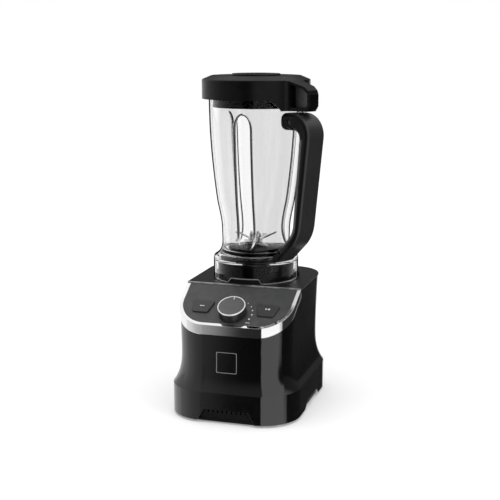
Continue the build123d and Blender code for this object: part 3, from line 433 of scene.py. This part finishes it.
METALS = {
    # The band's level face gets a painted highlight: less bare, so its pale colour shows
    "trim_steel": dict(
        colour=(0.95, 0.95, 0.955), rough=0.035, scale=90.0, stretch=(1.0, 1.0, 30.0), depth=0.000004,
        vary=0.015, edge=0.0012, painted_highlight=band_face,
    ),
    # Painted highlight: the knob's chrome is only partly bare, so its pale colour shows white
    "knob_chrome": dict(colour=(0.97, 0.97, 0.975), rough=0.3, scale=300.0, vary=0.03, edge=0.0, bare=0.35),
    "knob_grey": dict(colour=(0.2, 0.2, 0.205), rough=0.42, scale=700.0),
    "screw_steel": dict(colour=(0.5, 0.5, 0.51), rough=0.3, scale=900.0),
    "lamination": dict(
        colour=(0.3, 0.3, 0.31), rough=0.4, scale=40.0, stretch=(1.0, 1.0, 60.0), depth=0.0001
    ),
    "copper": dict(
        colour=(0.7, 0.32, 0.17), rough=0.35, scale=90.0, stretch=(1.0, 1.0, 30.0), depth=0.0002
    ),
    "bracket_metal": dict(colour=(0.55, 0.55, 0.56), rough=0.45, scale=800.0, depth=0.0001),
    "bearing_steel": dict(colour=(0.6, 0.6, 0.62), rough=0.22, scale=80.0, stretch=(1.0, 1.0, 20.0)),
    "blade_steel": dict(
        colour=(0.62, 0.62, 0.63), rough=0.1, scale=200.0, stretch=(1.0, 8.0, 1.0), vary=0.04
    ),
}

look = {"jug_clear": clear("jug_clear")}
look.update({name: moulded(name, **settings) for name, settings in PLASTICS.items()})
look.update({name: metal(name, **settings) for name, settings in METALS.items()})
ink_white = printed("ink_white", grey=0.85)
ink_grey = printed("ink_grey", grey=0.34)

for row in frame["record"]["subparts"]:
    materials = nodes[row["node"]].data.materials
    materials.clear()
    materials.append(look[row["material_slot"]])


# Mesh helpers

SHARP = 35.0


def piece(name, mesh, material, body):
    """A new object that rides on a body."""
    made = bpy.data.objects.new(name, mesh)
    bpy.context.scene.collection.objects.link(made)
    mesh.materials.append(material)
    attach(made, body)
    return made


def finished(made, name):
    """The mesh of a bmesh that is complete."""
    bmesh.ops.recalc_face_normals(made, faces=made.faces)
    mesh = bpy.data.meshes.new(name)
    made.to_mesh(mesh)
    made.free()
    return mesh


def smooth(mesh, angle=SHARP):
    """Smooth shading with sharp edges kept sharp."""
    mesh.polygons.foreach_set("use_smooth", [True] * len(mesh.polygons))
    made = bmesh.new()
    made.from_mesh(mesh)
    for edge in made.edges:
        edge.smooth = len(edge.link_faces) == 2 and edge.calc_face_angle(0.0) < math.radians(angle)
    made.to_mesh(mesh)
    made.free()


def hermite(points, start, end, count):
    """Smooth curve through points with given end directions, as an array of samples."""
    p = np.array(points, float)
    gaps = np.linalg.norm(np.diff(p, axis=0), axis=1)
    t = np.concatenate(([0.0], np.cumsum(gaps)))
    slopes = np.zeros_like(p)
    slopes[0] = np.array(start) / np.linalg.norm(start)
    slopes[-1] = np.array(end) / np.linalg.norm(end)
    for k in range(1, len(p) - 1):
        a = (p[k] - p[k - 1]) / gaps[k - 1]
        b = (p[k + 1] - p[k]) / gaps[k]
        slopes[k] = (a * gaps[k] + b * gaps[k - 1]) / (gaps[k] + gaps[k - 1])
    samples = []
    for value in np.linspace(0.0, t[-1], count):
        k = min(len(gaps) - 1, int(np.searchsorted(t, value, side="right")) - 1)
        h = gaps[k]
        u = (value - t[k]) / h
        samples.append(
            (2 * u**3 - 3 * u**2 + 1) * p[k]
            + (u**3 - 2 * u**2 + u) * h * slopes[k]
            + (3 * u**2 - 2 * u**3) * p[k + 1]
            + (u**3 - u**2) * h * slopes[k + 1]
        )
    return np.array(samples)


# Jug: one continuous wall with its flutes, as the solid has them without its handle lugs, in mm

JUG_TOP = 445.0
JUG_BOTTOM = 175.3
JUG_SHARP = 40.0
RIM = 68.8
BEAD_LOW = 440.0
WALL = 3.2
WAIST = 48.5
INNER_FOOT = WAIST - WALL
SKIRT = 60.5
SKIRT_IN = 57.5
SKIRT_TOP = 206.0
SKIRT_PLAIN = 184.0
FLOOR_TOP = 214.0
FLOOR_UNDER = 210.0
FLOOR_MIDDLE = 35.0
HOLE = 20.0
FLUTE = 12.0
FLUTE_OUT = 5.0
FLUTE_TOP = 386.0
FLUTE_FOOT = 244.0
RUNOUT = 8.4
HEAD_LENGTH = 19.0
FOOT_LENGTH = 22.0
OUTER_SOFT = 0.9
INNER_SOFT = 1.4
NOTCH_RADIUS = 60.0
NOTCH_SIDES = (19.9, 24.6)
NOTCH_RISE = 6.7

# Profiles as (radius, height), down the outside and up the inside, the edge's height over its notches

FLARE_POINTS = ((SKIRT, SKIRT_TOP), (53.0, 211.5), (WAIST, FLUTE_FOOT))
FLARE_START = (-1.0, 0.4)
WALL_POINTS = ((WAIST, FLUTE_FOOT), (55.8, 290.0), (64.9, 383.0), (66.4, JUG_TOP))
WALL_END = (0.02, 1.0)
UPRIGHT = (0.0, 1.0)
RIM_PROFILE = (
    (64.2, JUG_TOP), (RIM - 0.8, JUG_TOP), (RIM - 0.2, JUG_TOP - 0.3), (RIM, JUG_TOP - 0.9),
    (RIM, BEAD_LOW), (RIM - 0.2, BEAD_LOW - 0.6), (66.6, BEAD_LOW - 1.6),
)
OUTER_WALL = (206.6, 437.5)
SKIRT_PROFILE = (
    (SKIRT - 0.6, SKIRT_TOP + 0.2), (SKIRT - 0.2, SKIRT_TOP - 0.2), (SKIRT, SKIRT_TOP - 0.8),
    (SKIRT, 200.0), (SKIRT, 190.0), (SKIRT, SKIRT_PLAIN),
)
EDGE_PROFILE = (
    (SKIRT, 1.4), (SKIRT - 0.05, 0.5), (SKIRT - 0.3, 0.1), (SKIRT - 0.7, 0.0),
    (SKIRT_IN + 0.7, 0.0), (SKIRT_IN + 0.3, 0.1), (SKIRT_IN, 0.5), (SKIRT_IN, 1.4),
)
FLOOR_PROFILE = (
    (SKIRT_IN, SKIRT_PLAIN), (SKIRT_IN, 199.5), (SKIRT_IN - 0.3, 201.2), (50.9, 209.2), (49.6, FLOOR_UNDER),
    (FLOOR_MIDDLE, FLOOR_UNDER), (HOLE + 0.4, FLOOR_UNDER), (HOLE, FLOOR_UNDER + 0.4),
    (HOLE, FLOOR_TOP - 0.4), (HOLE + 0.4, FLOOR_TOP), (FLOOR_MIDDLE, FLOOR_TOP),
    (INNER_FOOT - 4.0, FLOOR_TOP), (INNER_FOOT - 2.0, FLOOR_TOP + 0.5),
    (INNER_FOOT - 0.5, FLOOR_TOP + 2.0), (INNER_FOOT, FLOOR_TOP + 4.0),
)
INNER_WALL = (219.5, 443.0)
LEDGE_PROFILE = ((63.2, JUG_TOP - 1.4), (63.4, JUG_TOP - 0.4))

# Rows and columns of the jug's mesh, and the painted dark lines and painted shade that its material draws

FLARE_SAMPLES = 26
WALL_SAMPLES = 500
ROW_STEP = 2.4
END_STEP = 0.6
END_MARGIN = 6.0
FLUTE_COLUMNS = 44
PLAIN_COLUMNS = 64
LEAST_HALF = 0.05
FLUTES = 3
SECTOR = 2 * math.pi / FLUTES
LINE_WIDTH = 0.95
LINE_FADE = 16.0
LINE_STEP = 0.2
LINE_FLOOR = 1e-6
OUTER_SIDES = (0.5, 1.0)
INNER_SIDES = (1.0, 0.0)
SKIRT_FACE = 60.0
SKIRT_LIMIT = 250.0
EDGE_SHADE = 0.5

flare_line = hermite(FLARE_POINTS, FLARE_START, UPRIGHT, FLARE_SAMPLES)
wall_line = hermite(WALL_POINTS, UPRIGHT, WALL_END, WALL_SAMPLES)
outer_line = np.vstack((flare_line, wall_line[1:]))


def wall_radius(z):
    """Radius of the plain outer wall at a height."""
    return float(np.interp(z, outer_line[:, 1], outer_line[:, 0]))


def soft_min(a, b, k):
    """Smaller of two values with a rounded corner between them."""
    h = np.clip(0.5 + 0.5 * (b - a) / k, 0.0, 1.0)
    return b * (1 - h) + a * h - k * h * (1 - h)


def row_heights():
    """Heights of the wall's rows, closer together where the flutes run out at the top."""
    end = FLUTE_TOP + HEAD_LENGTH + END_MARGIN
    wall = np.arange(FLUTE_FOOT + ROW_STEP, JUG_TOP, ROW_STEP)
    wall = wall[(wall < FLUTE_TOP) | (wall > end)]
    runout = np.arange(FLUTE_TOP + END_STEP, end, END_STEP)
    return np.sort(np.concatenate((flare_line[:, 1], wall, runout))).tolist()


def from_flute(phi):
    """Angle from the middle of the nearest flute."""
    return (phi + SECTOR / 2) % SECTOR - SECTOR / 2


def flute_turn(z):
    """The arc on which a flute runs out: its radius, where it turns about, and how far it has run."""
    level = min(max(z, FLUTE_FOOT), FLUTE_TOP)
    length = FOOT_LENGTH if z < FLUTE_FOOT else HEAD_LENGTH
    arc = (RUNOUT**2 + length**2) / (2 * RUNOUT)
    return arc, wall_radius(level) + FLUTE_OUT + arc, abs(z - level)


def flute_room(radius, z, reach):
    """Square of a flute's half width on a wall, below 0 past the flute's ends."""
    arc, pivot, over = flute_turn(z)
    return reach**2 - (math.hypot(pivot - radius, over) - arc) ** 2


def flute_line(radius, z, gap, reach):
    """Strength of the painted dark line along a flute's edges: one is faint outside, the other is left out
    inside.
    """
    shift = radius - wall_radius(z)
    heights = (z - LINE_STEP, z, z + LINE_STEP)
    low, level, high = [flute_room(wall_radius(k) + shift, k, reach) for k in heights]
    across = radius * np.sin(gap)
    slope = np.hypot((high - low) / (2 * LINE_STEP), 2 * across) + LINE_FLOOR
    sides = OUTER_SIDES if reach == FLUTE else INNER_SIDES
    fade = min(1.0, max(0.0, (z - FLUTE_FOOT) / LINE_FADE + 1.0))
    away = (level - across**2) / slope / LINE_WIDTH
    return fade * np.where(gap < 0.0, *sides) * np.exp(-(away**2))


def columns(half):
    """Angles round the jug, close together at the edges of its flutes."""
    side = SECTOR / 2
    inside = half * np.sin(np.linspace(-math.pi / 2, math.pi / 2, FLUTE_COLUMNS, endpoint=False))
    outside = side - (side - half) * np.cos(np.linspace(0.0, math.pi, PLAIN_COLUMNS, endpoint=False))
    sector = np.concatenate((inside, outside))
    return np.concatenate([sector + k * SECTOR for k in range(FLUTES)])


def with_flutes(radius, z, reach, soften):
    """One row of a wall that is drawn in along the flutes: angles, radii, edge lines and hollows."""
    half = math.asin(math.sqrt(max(flute_room(radius, z, reach), 0.0)) / radius)
    phi = columns(max(half, LEAST_HALF))
    gap = from_flute(phi)
    arc, pivot, over = flute_turn(z)
    tube = arc + np.sqrt(np.clip(reach**2 - (radius * np.sin(gap)) ** 2, 0.0, None))
    groove = pivot - np.sqrt(np.clip(tube**2 - over**2, 0.0, None))
    radii = soft_min(np.full_like(phi, radius), groove, soften)
    hollow = np.clip((half - np.abs(gap)) * radius, 0.0, 1.0)
    return phi, radii, flute_line(radius, z, gap, reach), hollow


def notch_height(phi):
    """Lower edge of the skirt, raised over each key of the deck."""
    across = np.abs(NOTCH_RADIUS * np.sin(from_flute(phi)))
    return JUG_BOTTOM + np.interp(across, NOTCH_SIDES, (NOTCH_RISE, 0.0))


def band_faces(rows, turns):
    """Four-sided faces between rings of points, the last ring joined to the first."""
    faces = []
    for i in range(rows):
        a, b = i * turns, ((i + 1) % rows) * turns
        for j in range(turns):
            k = (j + 1) % turns
            faces.append((a + j, b + j, b + k, a + k))
    return faces


def jug_mesh():
    """The wall in rows, down the outside and up the inside, with the layers that its material reads."""
    even = columns(LEAST_HALF)
    same = np.ones_like(even)
    none = np.zeros_like(even)
    heights = row_heights()
    rows = []

    def plain(profile, level=0.0):
        for r, z in profile:
            rows.append((even, r * same, level + z * same, none, none))

    def fluted(r, z, reach, soften):
        phi, radii, lip, hollow = with_flutes(r, z, reach, soften)
        rows.append((phi, radii, z * same, lip, hollow))

    plain(RIM_PROFILE)
    for z in reversed(heights):
        if OUTER_WALL[0] < z < OUTER_WALL[1]:
            fluted(wall_radius(z), z, FLUTE, OUTER_SOFT)
    outer_rows = len(rows)
    plain(SKIRT_PROFILE)
    edge_rows = range(len(rows) + 1, len(rows) + len(EDGE_PROFILE) - 1)
    plain(EDGE_PROFILE, notch_height(even))
    plain(FLOOR_PROFILE)
    for z in heights:
        if INNER_WALL[0] < z < INNER_WALL[1]:
            fluted(wall_radius(z) - WALL if z > FLUTE_FOOT else INNER_FOOT, z, FLUTE + WALL, INNER_SOFT)
    plain(LEDGE_PROFILE)

    points = [np.stack((r * np.sin(phi), -r * np.cos(phi), z), axis=1) for phi, r, z, _, _ in rows]
    mesh = bpy.data.meshes.new("jug_wall")
    mesh.from_pydata((np.concatenate(points) * MM).tolist(), [], band_faces(len(rows), len(even)))
    mesh.update()
    smooth(mesh, JUG_SHARP)
    # The skirt's outer face counts as outside, like the rows of the outer wall
    layers = {"lip": [], "flute": [], "outside": [], "rim": []}
    for k, (_, r, z, lip, hollow) in enumerate(rows):
        layers["lip"].append(lip)
        layers["flute"].append(hollow)
        layers["outside"].append((r > SKIRT_FACE) & (z < SKIRT_LIMIT) | (k < outer_rows))
        layers["rim"].append(EDGE_SHADE * same if k in edge_rows else none)
    for name, values in layers.items():
        layer = mesh.attributes.new(name, "FLOAT", "POINT")
        layer.data.foreach_set("value", np.concatenate(values).astype(float))
    return mesh


jug_wall = piece("jug_wall", jug_mesh(), look["jug_clear"], "jug")
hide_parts("jug")


# Prints on the panel, the knob and the buttons, in mm across and down the panel

PANEL_EDGE = Vector((0.0, -61.0, 172.6))
PRINT_THICK = 0.06
KNOB_DOWN = 55.0
KNOB_FACE = 13.7
BUTTON_SIDE = 46.0
BUTTON_DOWN = 46.8
BUTTON_FACE = 2.2
DOT_RING = 26.8
DOT_ANGLES = (53.3, 34.6, 17.7, -0.6, -19.8)
DOT_RADIUS = 0.7
DOT_GROWTH = 0.13
DOT_POINTS = 20
OFF_RING = 30.0
OFF_ANGLE = -33.5
OFF_SIZE = (5.6, 0.8)
POINTER_SIZE = (1.1, 4.4)
POINTER_MIDDLE = (0.0, 14.6)
PULSE_SIZE = (6.4, 1.0)
PLAY_OUTLINE = ((-2.6, 0.6), (0.4, 2.2), (-2.6, 3.8))
STOP_SIZE = (2.6, 2.6)
STOP_MIDDLE = (2.4, 2.2)


def circle(radius):
    """Outline of a dot."""
    turns = [2 * math.pi / DOT_POINTS * k for k in range(DOT_POINTS)]
    return [(radius * math.cos(turn), radius * math.sin(turn)) for turn in turns]


def bar(size, middle=(0.0, 0.0)):
    """Outline of an upright rectangle."""
    wide, tall = size[0] / 2, size[1] / 2
    corners = ((-wide, -tall), (wide, -tall), (wide, tall), (-wide, tall))
    return [(middle[0] + x, middle[1] + y) for x, y in corners]


def round_knob(ring, angle):
    """Place on the panel at an angle round the knob."""
    turn = math.radians(angle)
    return ring * math.cos(turn), KNOB_DOWN - ring * math.sin(turn)


def panel_print(name, outline, place, lift, body):
    """Thin white print with an outline, at a place across and down the panel and lifted off it."""
    across, down = place
    middle = (PANEL_EDGE + RIGHT * across - PANEL_UP * down + PANEL_OUT * lift) * MM
    made = bmesh.new()
    face = made.faces.new([made.verts.new(middle + (RIGHT * x + PANEL_UP * y) * MM) for x, y in outline])
    grown = bmesh.ops.extrude_face_region(made, geom=[face])
    for vert in [v for v in grown["geom"] if isinstance(v, bmesh.types.BMVert)]:
        vert.co += PANEL_OUT * PRINT_THICK * MM
    piece(name, finished(made, name), ink_white, body)


for count, angle in enumerate(DOT_ANGLES):
    outline = circle(DOT_RADIUS + DOT_GROWTH * count)
    panel_print(f"speed_dot_{count}", outline, round_knob(DOT_RING, angle), 0.0, "base")
panel_print("off_mark", bar(OFF_SIZE), round_knob(OFF_RING, OFF_ANGLE), 0.0, "base")
panel_print("knob_pointer", bar(POINTER_SIZE, POINTER_MIDDLE), (0.0, KNOB_DOWN), KNOB_FACE, "knob")
pulse_place = (-BUTTON_SIDE, BUTTON_DOWN)
panel_print("pulse_mark", bar(PULSE_SIZE), pulse_place, BUTTON_FACE, "pulse_button")
start_place = (BUTTON_SIDE, BUTTON_DOWN)
panel_print("start_mark_a", PLAY_OUTLINE, start_place, BUTTON_FACE, "start_button")
panel_print("start_mark_b", bar(STOP_SIZE, STOP_MIDDLE), start_place, BUTTON_FACE, "start_button")


# Bare plate with a plain border on the housing's front, in mm

BADGE_X = -2.0
BADGE_Z = 83.0
BADGE_HALF = 14.6
BADGE_ROUND = 1.6
BADGE_FOOT = 0.02
BADGE_LIFT = 0.3
BADGE_SOFT = 0.2
BADGE_STEPS = 6
BORDER_WIDE = 0.6
BORDER_IN = 0.3
BORDER_LIFT = 0.36
SIDE_POINTS = 8
CORNER_POINTS = 6
IN_FRONT = -300.0


def on_front(x, z, lift):
    """A point on the housing's front wall, lifted off it."""
    shell = nodes["base_housing"]
    _, place, normal, _ = shell.ray_cast(Vector((x, IN_FRONT, z)) * MM, -FRONT)
    return place + normal * lift * MM


def rounded_square(half, corner):
    """Outline of a square with round corners, with points along its sides."""
    inner = half - corner
    side = [(half, inner * (2 * j / SIDE_POINTS - 1)) for j in range(SIDE_POINTS)]
    turns = [math.pi / 2 * j / CORNER_POINTS for j in range(CORNER_POINTS)]
    arc = [(inner + corner * math.cos(turn), inner + corner * math.sin(turn)) for turn in turns]
    outline = []
    for k in range(4):
        turn = Matrix.Rotation(k * math.pi / 2, 2)
        outline += [turn @ Vector(point) for point in side + arc]
    return outline


def badge_ring(name, levels, material, closed):
    """Strip or plate that follows the front wall, from (half width, lift) levels."""
    made = bmesh.new()
    rings = []
    for half, lift in levels:
        outline = rounded_square(half, BADGE_ROUND * half / BADGE_HALF)
        rings.append([made.verts.new(on_front(BADGE_X + x, BADGE_Z + z, lift)) for x, z in outline])
    for low, high in zip(rings, rings[1:]):
        for k in range(len(low)):
            n = (k + 1) % len(low)
            made.faces.new((low[k], low[n], high[n], high[k]))
    if closed:
        made.faces.new(rings[-1])
    mesh = finished(made, name)
    smooth(mesh)
    piece(name, mesh, material, "base")


plate_side = [(BADGE_HALF, BADGE_FOOT), (BADGE_HALF, BADGE_SOFT), (BADGE_HALF - BADGE_SOFT, BADGE_LIFT)]
plate_face = [(BADGE_HALF * k / BADGE_STEPS, BADGE_LIFT) for k in range(BADGE_STEPS - 1, 0, -1)]
badge_ring("badge_plate", plate_side + plate_face, look["housing_black"], True)
border = [(BADGE_HALF - BORDER_IN - BORDER_WIDE * k, BORDER_LIFT) for k in range(2)]
badge_ring("badge_border", border, ink_grey, False)


# Stage: pale floor, white surround, soft lamps and the camera, in metres

FLOOR_RADIUS = 6.0
FLOOR_POINTS = 96
FLOOR_PLACE = (0.0, 0.0, -0.0004)
FLOOR_COLOUR = (0.8, 0.8, 0.8)
GLOW_REACH = (0.3, 2.2)
GLOW_STRENGTH = (0.24, 0.54)

# Greys of the surround as (place along an axis from -1 to 1, grey)

FRONT_STOPS = (
    (-1.0, 1.0), (-0.93, 0.75), (-0.8, 0.6), (-0.677, 0.48), (-0.53, 0.41), (-0.33, 0.36),
    (-0.318, 0.28), (-0.308, 0.18), (-0.3, 0.09), (-0.293, 0.04), (-0.286, 0.02), (0.15, 0.02),
    (0.165, 0.5), (0.185, 1.05), (0.92, 1.05), (0.97, 0.1), (1.0, 0.03),
)
FRONT_WHITER = ((0.2, 0.0), (0.6, 0.15))
REAR_STOPS = ((-1.0, 1.0), (0.14, 1.0), (0.195, 0.03), (1.0, 0.03))
BACKDROP_STOPS = ((0.0, 0.1), (0.4, 0.12), (0.64, 1.0))
BACKDROP_WHITER = ((-0.65, 0.7), (-0.4, 0.0))
BACKDROP_FROM = ((-0.02, 0.0), (0.02, 1.0))
REAR_FROM = ((-0.03, 0.0), (0.03, 1.0))
OPEN_STOPS = ((-0.95, 0.1), (-0.8, 1.0), (0.5, 1.0), (0.8, 0.1))
OPEN_FROM = ((-0.06, 0.0), (0.06, 1.0))
WHITE_STOPS = ((-1.0, 1.0), (1.0, 1.0))
FILL_STOPS = ((-1.0, 0.62), (1.0, 0.62))

LAMPS = {
    "top_soft": dict(place=(-0.1, -0.2, 1.8), target=(0.0, 0.0, 0.2), size=(1.6, 1.6), power=20.0),
    "right_soft": dict(place=(1.6, -0.7, 0.7), target=(0.0, 0.0, 0.25), size=(1.0, 1.4), power=7.0),
}
CAMERA_PLACE = (0.42574, -1.43424, 0.50956)
CAMERA_TARGET = (-0.00824, -0.0025, 0.21255)
CAMERA_LENS = 76.635
CAMERA_SENSOR = 36.0
CAMERA_CLIP = (0.05, 50.0)


def emptied(owner):
    """The node tree of a material or the world, without its first nodes."""
    owner.use_nodes = True
    owner.node_tree.nodes.clear()
    return Nodes(owner.node_tree)


def floor_material():
    """Pale floor with a glow for the camera alone, stronger away from the part."""
    material = bpy.data.materials.new("pale_floor")
    tree = emptied(material)
    diffuse = tree.add("ShaderNodeBsdfDiffuse")
    tree.feed(diffuse.inputs["Color"], FLOOR_COLOUR)
    reach = tree.add("ShaderNodeVectorMath", operation="LENGTH")
    tree.feed(reach.inputs[0], tree.add("ShaderNodeTexCoord").outputs["Object"])
    glow = tree.add("ShaderNodeEmission")
    tree.feed(glow.inputs["Strength"], tree.spread(reach.outputs["Value"], *GLOW_STRENGTH, GLOW_REACH))
    both = tree.add("ShaderNodeAddShader")
    tree.feed(both.inputs[0], diffuse.outputs["BSDF"])
    tree.feed(both.inputs[1], glow.outputs["Emission"])
    to_camera = tree.add("ShaderNodeLightPath").outputs["Is Camera Ray"]
    seen = tree.pick(to_camera, diffuse.outputs["BSDF"], both.outputs["Shader"])
    tree.feed(tree.add("ShaderNodeOutputMaterial").inputs["Surface"], seen)
    return material


def stage_floor():
    """Round floor that isn't seen in gloss or through clear plastic."""
    bpy.ops.mesh.primitive_circle_add(
        vertices=FLOOR_POINTS, radius=FLOOR_RADIUS, fill_type="NGON", location=FLOOR_PLACE
    )
    floor = bpy.context.object
    floor.name = "floor"
    floor.visible_glossy = False
    floor.visible_transmission = False
    floor.data.materials.append(floor_material())


def studio_world():
    """White surround with dark stretches for gloss to show, as flags in a studio give."""
    world = bpy.data.worlds.new("studio")
    bpy.context.scene.world = world
    tree = emptied(world)
    axes = tree.add("ShaderNodeSeparateXYZ")
    tree.feed(axes.inputs["Vector"], tree.add("ShaderNodeTexCoord").outputs["Generated"])
    across, deep, high = [tree.math("MULTIPLY_ADD", axes.outputs[axis], 0.5, 0.5) for axis in "XYZ"]

    def along(axis, stops):
        """Ramp along an axis, whose values from -1 to 1 are halved and shifted to fit."""
        return tree.ramp(axis, [(0.5 + 0.5 * place, grey) for place, grey in stops])

    def background(colour):
        node = tree.add("ShaderNodeBackground")
        tree.feed(node.inputs["Color"], colour)
        return node.outputs["Background"]

    white = along(high, WHITE_STOPS)
    front = tree.mix(along(high, FRONT_WHITER), along(across, FRONT_STOPS), white)
    backdrop = tree.mix(along(across, BACKDROP_WHITER), along(high, BACKDROP_STOPS), white)
    rear = tree.mix(along(high, BACKDROP_FROM), along(across, REAR_STOPS), backdrop)
    studio = tree.mix(along(deep, REAR_FROM), front, rear)
    through = tree.mix(along(deep, OPEN_FROM), studio, along(high, OPEN_STOPS))
    path = tree.add("ShaderNodeLightPath").outputs
    seen = tree.pick(path["Is Glossy Ray"], background(along(high, FILL_STOPS)), background(studio))
    seen = tree.pick(path["Is Transmission Ray"], seen, background(through))
    seen = tree.pick(path["Is Camera Ray"], seen, background(white))
    tree.feed(tree.add("ShaderNodeOutputWorld").inputs["Surface"], seen)


def aimed(place, target):
    """Turn that points a lamp or the camera from a place at a target."""
    return (Vector(target) - Vector(place)).to_track_quat("-Z", "Y")


def lamp(name, place, target, size, power):
    """Soft lamp that gloss and the camera don't see."""
    data = bpy.data.lights.new(name, "AREA")
    data.shape = "RECTANGLE"
    data.size, data.size_y = size
    data.energy = power
    made = bpy.data.objects.new(name, data)
    bpy.context.scene.collection.objects.link(made)
    made.location = place
    made.rotation_euler = aimed(place, target).to_euler()
    made.visible_glossy = False
    made.visible_camera = False


def camera():
    """Camera at the photograph's angle."""
    data = bpy.data.cameras.new("camera")
    data.lens = CAMERA_LENS
    data.sensor_width = CAMERA_SENSOR
    data.clip_start, data.clip_end = CAMERA_CLIP
    made = bpy.data.objects.new("camera", data)
    bpy.context.scene.collection.objects.link(made)
    made.location = CAMERA_PLACE
    made.rotation_mode = "QUATERNION"
    made.rotation_quaternion = aimed(CAMERA_PLACE, CAMERA_TARGET)
    bpy.context.scene.camera = made


stage_floor()
studio_world()
for name, settings in LAMPS.items():
    lamp(name, **settings)
camera()
bpy.context.scene.view_settings.view_transform = "Standard"
